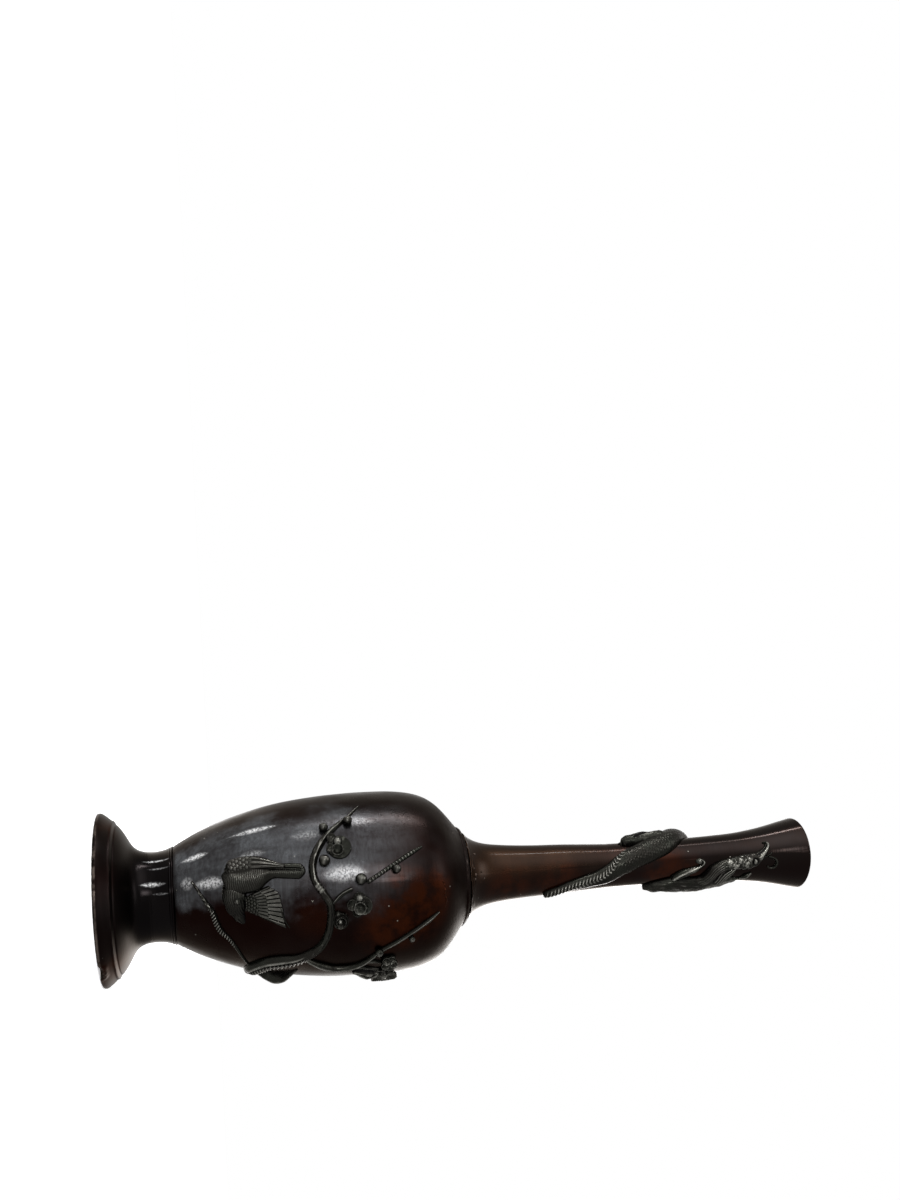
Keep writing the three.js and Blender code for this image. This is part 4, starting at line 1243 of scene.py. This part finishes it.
class Patina:
    """A node material for waxed bronze, built up in coats from the object's own coordinates."""

    def __init__(self, name):
        self.material = bpy.data.materials.new(name)
        self.material.use_nodes = True
        self.tree = self.material.node_tree
        self.shader = self.tree.nodes["Principled BSDF"]
        self.place = add_node(self.tree, "ShaderNodeTexCoord").outputs["Object"]
        self.level = add_node(self.tree, "ShaderNodeSeparateXYZ", {0: self.place}).outputs["Z"]
        self.rub = add_node(self.tree, "ShaderNodeAttribute", attribute_name="rub").outputs["Fac"]
        self.outwards = self.vector("NORMALIZE", self.vector("MULTIPLY", self.place, (1, 1, 0)))

    def clouds(self, scale, detail=3.0, stretch=(1, 1, 1), slant=0.0):
        """Noise of a scale, in patterns to the metre, stretched along the axes and slanted by an angle."""
        inputs = {"Vector": self.place, "Scale": stretch, "Rotation": (0, slant, slant)}
        place = add_node(self.tree, "ShaderNodeMapping", inputs).outputs[0]
        inputs = {"Vector": place, "Scale": scale, "Detail": detail, "Roughness": 0.6}
        return add_node(self.tree, "ShaderNodeTexNoise", inputs).outputs["Fac"]

    def step(self, value, low, high, least=0.0, most=1.0):
        """Maps a value smoothly from the range low to high on to the range least to most."""
        inputs = {"Value": value, "From Min": low, "From Max": high, "To Min": least, "To Max": most}
        return add_node(self.tree, "ShaderNodeMapRange", inputs, interpolation_type="SMOOTHSTEP").outputs[0]

    def maths(self, operation, first, second):
        """Arithmetic on two values."""
        return maths(self.tree, operation, first, second)

    def plus(self, first, second):
        """Sum of two values."""
        return self.maths("ADD", first, second)

    def times(self, first, *others):
        """Product of values."""
        for other in others:
            first = self.maths("MULTIPLY", first, other)
        return first

    def mix(self, share, first, second):
        """Colour between two colours."""
        first, second = (
            value if isinstance(value, bpy.types.NodeSocket) else (*value, 1.0) for value in (first, second)
        )
        inputs = {0: share, 6: first, 7: second}
        return add_node(self.tree, "ShaderNodeMix", inputs, data_type="RGBA").outputs[2]

    def vector(self, operation, *vectors):
        """Arithmetic on one or two vectors."""
        return vector_maths(self.tree, operation, *vectors)

    def near(self, centre, radius):
        """1 at a place on the vase, falling to 0 at a radius from it; both in metres."""
        away = self.vector("LENGTH", self.vector("SUBTRACT", self.place, centre))
        return self.step(away, radius, 0.25 * radius)

    def facing(self, degrees, low, high, waver=0.0):
        """1 on the side of the vase towards that many degrees, 0 on the other: the cosine of the angle from
        there round the axis, plus an uneven amount up to waver either way, stepped from low to high."""
        turn = np.radians(degrees)
        towards = self.vector("DOT_PRODUCT", self.outwards, (np.sin(turn), -np.cos(turn), 0))
        if waver:
            towards = self.plus(towards, self.step(self.clouds(75.0, 4.0), 0.3, 0.7, -waver, waver))
        return self.step(towards, low, high)

    def lens(self, level, degrees, wide, tall, soft):
        """1 in an upright mark with pointed ends at a level and degrees round the vase, which reaches wide
        degrees aside and tall metres up and down: where the sine of the angle and the square of the height,
        as shares of their reach, come to less than 1. The edge fades over the soft share."""
        turn = np.radians(degrees)
        aside = self.vector("DOT_PRODUCT", self.outwards, (np.cos(turn), np.sin(turn), 0))
        aside = self.maths("DIVIDE", self.maths("ABSOLUTE", aside, 0.0), np.sin(np.radians(wide)))
        up = self.maths("DIVIDE", self.maths("SUBTRACT", self.level, level), tall)
        reach = self.plus(aside, self.times(up, up))
        return self.times(self.step(reach, 1.0, 1.0 - soft), self.facing(degrees, 0.0, 0.2))

    def finish(self, colour, roughness, bumps, metal, gloss, wax=0.0):
        """Links the coats to the shader. metal is the share that shines as bare metal does, and gloss the
        shine of the rest. wax is the weight of the clear coat over all."""
        height = None
        for value, strength, distance in bumps:
            inputs = {"Height": value, "Strength": strength, "Distance": distance}
            if height:
                inputs["Normal"] = height
            height = add_node(self.tree, "ShaderNodeBump", inputs).outputs[0]
        self.tree.links.new(colour, self.shader.inputs["Base Color"])
        self.tree.links.new(roughness, self.shader.inputs["Roughness"])
        self.tree.links.new(height, self.shader.inputs["Normal"])
        if isinstance(metal, bpy.types.NodeSocket):
            self.tree.links.new(metal, self.shader.inputs["Metallic"])
        else:
            self.shader.inputs["Metallic"].default_value = metal
        self.shader.inputs["Specular IOR Level"].default_value = gloss
        self.shader.inputs["Coat Weight"].default_value = wax
        self.shader.inputs["Coat Roughness"].default_value = WAX_ROUGHNESS
        self.shader.inputs["Specular Tint"].default_value = EDGE_TINT
        return self.material


def on_wall(wall, patches):
    """The patches with their spots on a wall turned into places in metres."""
    places = []
    for spot, radius, strength in patches:
        place = wall.place(*wall.spot(*spot), 0.0, 0.0, 0.0) * MM
        places.append((tuple(place), radius, strength))
    return places


def vessel_patina(coat, colour, patches, glints, roughness, metal=1.0, wax=0.0):
    """Patina of a turned casting over its ground colour: warm patches where it is thin, painted glints,
    polishing lines round the vase, pale specks and worn edges."""
    colours = bpy.context.scene.vase_patina
    mottle = coat.clouds(190.0, 6.0)
    for centre, radius, strength in patches:
        mask = coat.times(coat.near(centre, radius), coat.step(mottle, 0.32, 0.64, 0.12, strength))
        colour = coat.mix(mask, colour, colours.chestnut)
    grain = coat.step(coat.clouds(1500.0, 3.0), 0.36, 0.62, 0.12, 1.0)
    # Painted glints: bright marks where lamps and windows would be reflected.
    for level, degrees, wide, tall, soft, strength in glints:
        mask = coat.times(coat.lens(level, degrees, wide, tall, soft), strength, grain)
        colour = coat.mix(mask, colour, colours.glint)
    inputs = {"Vector": coat.place, "Scale": 620.0, "Randomness": 1.0}
    cells = add_node(coat.tree, "ShaderNodeTexVoronoi", inputs)
    pick = add_node(coat.tree, "ShaderNodeSeparateColor", {0: cells.outputs["Color"]}).outputs[0]
    specks = coat.times(coat.step(pick, 0.985, 0.995), coat.step(cells.outputs["Distance"], 0.20, 0.08))
    colour = coat.mix(coat.times(specks, 0.7), colour, colours.speck)
    uneven_wear = coat.step(coat.clouds(240.0, 3.0), 0.42, 0.62)
    worn = coat.times(coat.step(coat.rub, 0.6, 1.0, 0.0, 0.8), uneven_wear)
    colour = coat.mix(worn, colour, colours.worn)
    colour = coat.mix(coat.step(coat.rub, 0.42, 0.1), colour, colours.recess_and_stem_shade)
    lines = coat.clouds(60.0, 4.0, (0.35, 0.35, 14.0))
    bumps = [(lines, 0.10, 0.0004), (coat.clouds(700.0, 3.0), 0.06, 0.0003), (specks, 0.4, 0.0002)]
    return coat.finish(colour, roughness, bumps, metal, VESSEL_GLOSS, wax)


def dark_patina():
    """Near-black patina of the foot and body, red-brown where it is thin, with painted shade that darkens the
    right side and the foot, most of all the stem, and a painted grey sheen on the left of the front."""
    colours = bpy.context.scene.vase_patina
    wall = body_face(in_millimetres(bpy.context.scene.vase_vessel))
    coat = Patina("dark_bronze")
    clouds = coat.step(coat.clouds(38.0, 3.0), 0.36, 0.66)
    colour = coat.mix(clouds, colours.darkest_and_shade, colours.dark)
    # Painted shade: the right side, away from the lamps, is darkened.
    right_shade = coat.times(coat.facing(66, 0.30, 0.86), 0.8)
    colour = coat.mix(right_shade, colour, colours.darkest_and_shade)
    # Painted shade: the foot is darkened, most of all on the stem.
    below_body = coat.step(coat.level, 0.0250, 0.0225, 0.0, 0.9)
    stem = coat.times(below_body, coat.step(coat.level, 0.007, 0.013, 0.4, 1.0))
    colour = coat.mix(stem, colour, colours.recess_and_stem_shade)
    # Painted sheen: a grey, partly metal zone on the left of the front, below the shoulder, broken up by
    # streaks.
    streaks = coat.step(coat.clouds(150.0, 4.0, (1.0, 1.0, 0.30)), 0.34, 0.66, 0.42, 1.0)
    brushed = coat.step(coat.clouds(1100.0, 3.0, (0.07, 1.0, 1.0), 0.6), 0.34, 0.64, 0.65, 1.0)
    below_shoulder = coat.step(coat.level, 0.107, 0.060)
    above_joint = coat.step(coat.level, 0.0232, 0.0250)
    painted_sheen = coat.times(coat.facing(-22, 0.74, 0.98, 0.10), below_shoulder, above_joint, streaks, brushed)
    colour = coat.mix(painted_sheen, colour, colours.grey)
    patches = on_wall(wall, BODY_PATCHES) + RIM_PATCHES
    roughness = coat.step(coat.clouds(55.0, 5.0), 0.3, 0.72, 0.22, 0.38)
    dull_shoulder = coat.step(coat.level, 0.104, 0.117, 0.0, 0.20)
    glossy_stem = coat.step(coat.level, 0.0220, 0.0260, 0.6, 1.0)
    dull_rim = coat.step(coat.level, 0.0150, 0.0080, 0.0, 0.22)
    roughness = coat.plus(coat.times(coat.plus(roughness, dull_shoulder), glossy_stem), dull_rim)
    metal = coat.step(painted_sheen, 0.0, 1.0, 1.0, SHEEN_METAL)
    return vessel_patina(coat, colour, patches, PAINTED_GLINTS, roughness, metal)


def brown_patina():
    """Brown patina of the neck, violet-black towards the mouth, painted shade on the right, chestnut patches.
    """
    colours = bpy.context.scene.vase_patina
    wall = neck_face(in_millimetres(bpy.context.scene.vase_vessel))
    coat = Patina("brown_bronze")
    low = coat.step(coat.level, 0.190, 0.150)
    colour = coat.mix(low, coat.mix(0.25, colours.dark, colours.darkest_and_shade), colours.brown)
    colour = coat.mix(coat.step(coat.clouds(45.0, 3.0), 0.62, 0.34, 0.0, 0.6), colour, colours.dark_brown)
    # Painted shade: the right side, away from the lamps, is darkened.
    right_shade = coat.times(coat.facing(60, 0.4, 0.95), 0.85)
    colour = coat.mix(right_shade, colour, colours.darkest_and_shade)
    roughness = coat.step(coat.clouds(55.0, 5.0), 0.3, 0.72, 0.12, 0.22)
    roughness = coat.plus(roughness, coat.times(low, 0.20))
    return vessel_patina(coat, colour, on_wall(wall, NECK_PATCHES), [], roughness, wax=NECK_WAX)


def relief_patina():
    """Grey-green patina of the ornaments, dark in the hollows and rubbed light on the high points."""
    colours = bpy.context.scene.vase_patina
    coat = Patina("relief_bronze")
    cloudy = coat.step(coat.clouds(120.0, 4.0), 0.35, 0.7, 0.0, 0.55)
    colour = coat.mix(cloudy, colours.relief, colours.dark)
    uneven_wear = coat.step(coat.clouds(330.0, 4.0), 0.3, 0.7, 0.35, 1.0)
    worn = coat.times(coat.step(coat.rub, 0.60, 1.0), uneven_wear)
    colour = coat.mix(worn, colour, colours.rubbed)
    colour = coat.mix(coat.step(coat.rub, 0.34, 0.0), colour, colours.recess_and_stem_shade)
    roughness = coat.step(coat.clouds(240.0, 4.0), 0.3, 0.7, 0.14, 0.28)
    bumps = [(coat.clouds(900.0, 4.0), 0.15, 0.0003), (coat.clouds(260.0, 3.0), 0.10, 0.0006)]
    return coat.finish(colour, roughness, bumps, RELIEF_METAL, RELIEF_GLOSS)


def patina_of(name, maker):
    """The material of that name, made the first time that it is asked for."""
    return bpy.data.materials.get(name) or maker()


def add_reliefs(pieces):
    """Makes ornaments, given as shells by the name of their casting."""
    material = patina_of("relief_bronze", relief_patina)
    for node, shells in pieces.items():
        add_piece(node, shells, material)


# Stage

CAMERA_PLACE = Vector((0.0, -0.36797, 0.03864))
CAMERA_TARGET = Vector((-0.03407, 0.0, 0.11961))
IMAGE_UP = Vector((-1.0, -0.1032, 0.0484))
FRAME_SHIFT = 0.15
SENSOR_WIDTH = 36.0
NEAREST_SEEN = 0.01

# A lamp is its direction, its width and height in metres, and the name of its power. The direction is degrees
# round from the front to the right, degrees up, and the distance in metres from the lamps' target.
LAMPS = {
    "left_panel": ((-52, 18, 0.95), (1.60, 1.00), "panel_power"),
    "left_strip": ((-83, 12, 0.62), (0.040, 0.56), "strip_power"),
    "window": ((-12, 4, 0.62), (0.16, 0.40), "window_power"),
    "overhead_panel": ((-25, 62, 1.00), (0.90, 0.70), "overhead_power"),
    "back_panel": ((166, 22, 1.00), (1.20, 0.90), "back_power"),
}
LAMP_TARGET = Vector((0.0, 0.0, 0.11))

# Strength of the world's light, where it isn't seen.
ROOM_LIGHT = 0.2

# In metres: half the floor's width, and how far from the vase it starts and ends fading into the background.
FLOOR_HALF = 4.0
FADE_START = 0.10
FADE_END = 0.45


def aimed(place, target, up):
    """Matrix of a camera or lamp that looks along its -Z axis from a place to a target."""
    back = (place - target).normalized()
    right = up.cross(back).normalized()
    matrix = Matrix((right, back.cross(right), back)).transposed().to_4x4()
    matrix.translation = place
    return matrix


def soften_edges(lamp):
    """Fades a lamp towards its edges: its strength is the square of 30 x (1 - x) y (1 - y), on average 1."""
    lamp.use_nodes = True
    tree = lamp.node_tree
    place = add_node(tree, "ShaderNodeNewGeometry").outputs["Parametric"]
    hump = vector_maths(tree, "MULTIPLY", place, vector_maths(tree, "SUBTRACT", (1.0, 1.0, 1.0), place))
    sides = add_node(tree, "ShaderNodeSeparateXYZ", {0: hump}).outputs
    product = maths(tree, "MULTIPLY", maths(tree, "MULTIPLY", sides[0], sides[1]), 30.0)
    strength = maths(tree, "POWER", product, 2.0)
    tree.links.new(strength, tree.nodes["Emission"].inputs["Strength"])


def add_lamp(name, direction, size, watts):
    """Soft rectangular lamp that shines on the vase from a direction."""
    round_angle, up_angle, distance = np.radians(direction[0]), np.radians(direction[1]), direction[2]
    level = distance * np.cos(up_angle)
    rise = distance * np.sin(up_angle)
    place = LAMP_TARGET + Vector((level * np.sin(round_angle), -level * np.cos(round_angle), rise))
    lamp = bpy.data.lights.new(name, "AREA")
    lamp.shape = "RECTANGLE"
    lamp.size, lamp.size_y = size
    lamp.energy = watts
    soften_edges(lamp)
    lamp_object = bpy.data.objects.new(name, lamp)
    lamp_object.matrix_world = aimed(place, LAMP_TARGET, Vector((0, 0, 1)))
    bpy.context.scene.collection.objects.link(lamp_object)


def seen_white(tree):
    """1 for rays from the camera or off shiny surfaces, which see a white background, and 0 for others."""
    path = add_node(tree, "ShaderNodeLightPath")
    shiny = maths(tree, "MAXIMUM", path.outputs["Is Glossy Ray"], path.outputs["Is Transmission Ray"])
    return maths(tree, "MAXIMUM", path.outputs["Is Camera Ray"], shiny)


def white_world():
    """World that lights softly and is white where it is seen."""
    world = bpy.data.worlds.new("white_room")
    world.use_nodes = True
    tree = world.node_tree
    inputs = {"Value": seen_white(tree), "To Min": ROOM_LIGHT, "To Max": 1.0}
    strength = add_node(tree, "ShaderNodeMapRange", inputs).outputs[0]
    background = tree.nodes["Background"]
    background.inputs["Color"].default_value = (1.0, 1.0, 1.0, 1.0)
    tree.links.new(strength, background.inputs["Strength"])
    bpy.context.scene.world = world


def add_floor(colour):
    """Wide pale floor that fades to the white background and keeps the vase's shadow."""
    corners = FLOOR_HALF * np.array([(-1, -1, 0), (1, -1, 0), (1, 1, 0), (-1, 1, 0)])
    mesh = bpy.data.meshes.new("floor")
    mesh.from_pydata(corners, [], [(0, 1, 2, 3)])
    material = bpy.data.materials.new("pale_floor")
    material.use_nodes = True
    tree = material.node_tree
    shader = tree.nodes["Principled BSDF"]
    shader.inputs["Base Color"].default_value = (*colour, 1.0)
    shader.inputs["Roughness"].default_value = 0.9
    shader.inputs["Specular IOR Level"].default_value = 0.1
    shader.inputs["Emission Color"].default_value = (1.0, 1.0, 1.0, 1.0)
    place = add_node(tree, "ShaderNodeTexCoord").outputs["Object"]
    distance = vector_maths(tree, "LENGTH", place)
    far = {"Value": distance, "From Min": FADE_START, "From Max": FADE_END, "To Min": 0.5, "To Max": 1.0}
    fade = add_node(tree, "ShaderNodeMapRange", far, interpolation_type="SMOOTHSTEP").outputs[0]
    glow = maths(tree, "MULTIPLY", seen_white(tree), fade)
    tree.links.new(glow, shader.inputs["Emission Strength"])
    mesh.materials.append(material)
    floor = bpy.data.objects.new("floor", mesh)
    bpy.context.scene.collection.objects.link(floor)


# Operators

class VasePiece:
    """What the operators for pieces of the vase share."""

    bl_options = {"REGISTER", "UNDO"}


class VASE_OT_foot(VasePiece, bpy.types.Operator):
    """Make the foot and the plate under it"""

    bl_idname = "vase.foot"
    bl_label = "Foot and Plate"

    def execute(self, context):
        sizes = in_millimetres(context.scene.vase_vessel)
        material = patina_of("dark_bronze", dark_patina)
        add_piece("foot", [make_foot(sizes)], material)
        add_piece("base_plate", [make_plate(sizes)], material)
        return {"FINISHED"}


class VASE_OT_body(VasePiece, bpy.types.Operator):
    """Make the body"""

    bl_idname = "vase.body"
    bl_label = "Body"

    def execute(self, context):
        sizes = in_millimetres(context.scene.vase_vessel)
        add_piece("body", make_body(sizes), patina_of("dark_bronze", dark_patina))
        return {"FINISHED"}


class VASE_OT_neck(VasePiece, bpy.types.Operator):
    """Make the neck"""

    bl_idname = "vase.neck"
    bl_label = "Neck"

    def execute(self, context):
        sizes = in_millimetres(context.scene.vase_vessel)
        add_piece("neck", make_neck(sizes), patina_of("brown_bronze", brown_patina))
        return {"FINISHED"}


class VASE_OT_branches(VasePiece, bpy.types.Operator):
    """Make the wood of the plum branch"""

    bl_idname = "vase.branches"
    bl_label = "Plum Branch"

    def execute(self, context):
        wall = body_face(in_millimetres(context.scene.vase_vessel))
        add_reliefs(make_branches(in_millimetres(context.scene.vase_plum), wall))
        return {"FINISHED"}


class VASE_OT_blossoms(VasePiece, bpy.types.Operator):
    """Make the blossoms and their stalks"""

    bl_idname = "vase.blossoms"
    bl_label = "Blossoms"

    def execute(self, context):
        wall = body_face(in_millimetres(context.scene.vase_vessel))
        sizes = in_millimetres(context.scene.vase_plum)
        pieces = {}
        for node, (spot, radius, petals) in BLOSSOMS.items():
            shells = [make_blossom(wall, spot, petals, getattr(sizes, radius), sizes.blossom_rise)]
            if node == "side_blossom":
                shells.append(make_drooping_blossom(sizes, wall))
            if node in STALKS:
                shells.append(make_stalk(sizes, wall, STALKS[node]))
            pieces[node] = shells
        add_reliefs(pieces)
        return {"FINISHED"}


class VASE_OT_buds(VasePiece, bpy.types.Operator):
    """Make the closed buds"""

    bl_idname = "vase.buds"
    bl_label = "Buds"

    def execute(self, context):
        wall = body_face(in_millimetres(context.scene.vase_vessel))
        sizes = in_millimetres(context.scene.vase_plum)
        pieces = {}
        for node, (spot, share) in BUDS.items():
            pieces[node] = [make_bud(wall, spot, share * sizes.bud_radius)]
        add_reliefs(pieces)
        return {"FINISHED"}


class VASE_OT_bird(VasePiece, bpy.types.Operator):
    """Make the bird and its spread wing"""

    bl_idname = "vase.bird"
    bl_label = "Bird"

    def execute(self, context):
        wall = body_face(in_millimetres(context.scene.vase_vessel))
        sizes = in_millimetres(context.scene.vase_bird)
        plum = in_millimetres(context.scene.vase_plum)
        bird = make_bird(sizes, plum, wall)
        add_reliefs({"bird": bird, "bird_spread_wing": make_spread_wing(sizes, wall)})
        return {"FINISHED"}


class VASE_OT_dragon(VasePiece, bpy.types.Operator):
    """Make the dragon round the neck"""

    bl_idname = "vase.dragon"
    bl_label = "Dragon"

    def execute(self, context):
        wall = neck_face(in_millimetres(context.scene.vase_vessel))
        sizes = in_millimetres(context.scene.vase_dragon)
        plum = in_millimetres(context.scene.vase_plum)
        add_reliefs(make_dragon(sizes, plum, wall))
        return {"FINISHED"}


class VASE_OT_stage(bpy.types.Operator):
    """Make the floor, the lamps, the white background and the camera"""

    bl_idname = "vase.stage"
    bl_label = "Stage"

    def execute(self, context):
        stage = context.scene.vase_stage
        add_floor(stage.floor)
        white_world()
        for name, (direction, size, power_name) in LAMPS.items():
            add_lamp(name, direction, size, getattr(stage, power_name))
        camera = bpy.data.cameras.new("photograph")
        camera.lens = stage.focal_length
        camera.sensor_width = SENSOR_WIDTH
        camera.shift_y = FRAME_SHIFT
        camera.clip_start = NEAREST_SEEN
        camera_object = bpy.data.objects.new("photograph", camera)
        camera_object.matrix_world = aimed(CAMERA_PLACE, CAMERA_TARGET, IMAGE_UP)
        context.scene.collection.objects.link(camera_object)
        context.scene.camera = camera_object
        context.scene.view_settings.view_transform = "Standard"
        return {"FINISHED"}


class VASE_PT_panel(bpy.types.Panel):
    """Lists the pieces of the vase and their settings"""

    bl_idname = "VASE_PT_panel"
    bl_label = "Bronze Bud Vase"
    bl_space_type = "VIEW_3D"
    bl_region_type = "UI"
    bl_category = "Bud Vase"

    def draw(self, context):
        for operator in OPERATORS:
            self.layout.operator(operator.bl_idname)
        for name in SETTINGS:
            box = self.layout.box()
            group = getattr(context.scene, name)
            for entry in group.bl_rna.properties:
                if entry.identifier not in ("name", "rna_type"):
                    box.prop(group, entry.identifier)


OPERATORS = (
    VASE_OT_foot, VASE_OT_body, VASE_OT_neck, VASE_OT_branches, VASE_OT_blossoms, VASE_OT_buds,
    VASE_OT_bird, VASE_OT_dragon, VASE_OT_stage,
)
SETTINGS = {
    "vase_vessel": VesselSizes,
    "vase_plum": PlumSizes,
    "vase_bird": BirdSizes,
    "vase_dragon": DragonSizes,
    "vase_patina": PatinaColours,
    "vase_stage": StageSettings,
}


def register():
    """Registers the settings, the operators and the panel."""
    for name, group in SETTINGS.items():
        bpy.utils.register_class(group)
        setattr(bpy.types.Scene, name, bpy.props.PointerProperty(type=group))
    for kind in (*OPERATORS, VASE_PT_panel):
        bpy.utils.register_class(kind)


def unregister():
    """Removes what register added."""
    for kind in (VASE_PT_panel, *reversed(OPERATORS)):
        bpy.utils.unregister_class(kind)
    for name, group in SETTINGS.items():
        delattr(bpy.types.Scene, name)
        bpy.utils.unregister_class(group)


def main():
    register()
    bpy.ops.vase.foot()
    bpy.ops.vase.body()
    bpy.ops.vase.neck()
    bpy.ops.vase.branches()
    bpy.ops.vase.blossoms()
    bpy.ops.vase.buds()
    bpy.ops.vase.bird()
    bpy.ops.vase.dragon()
    bpy.ops.vase.stage()
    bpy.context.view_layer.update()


if __name__ == "__main__":
    main()
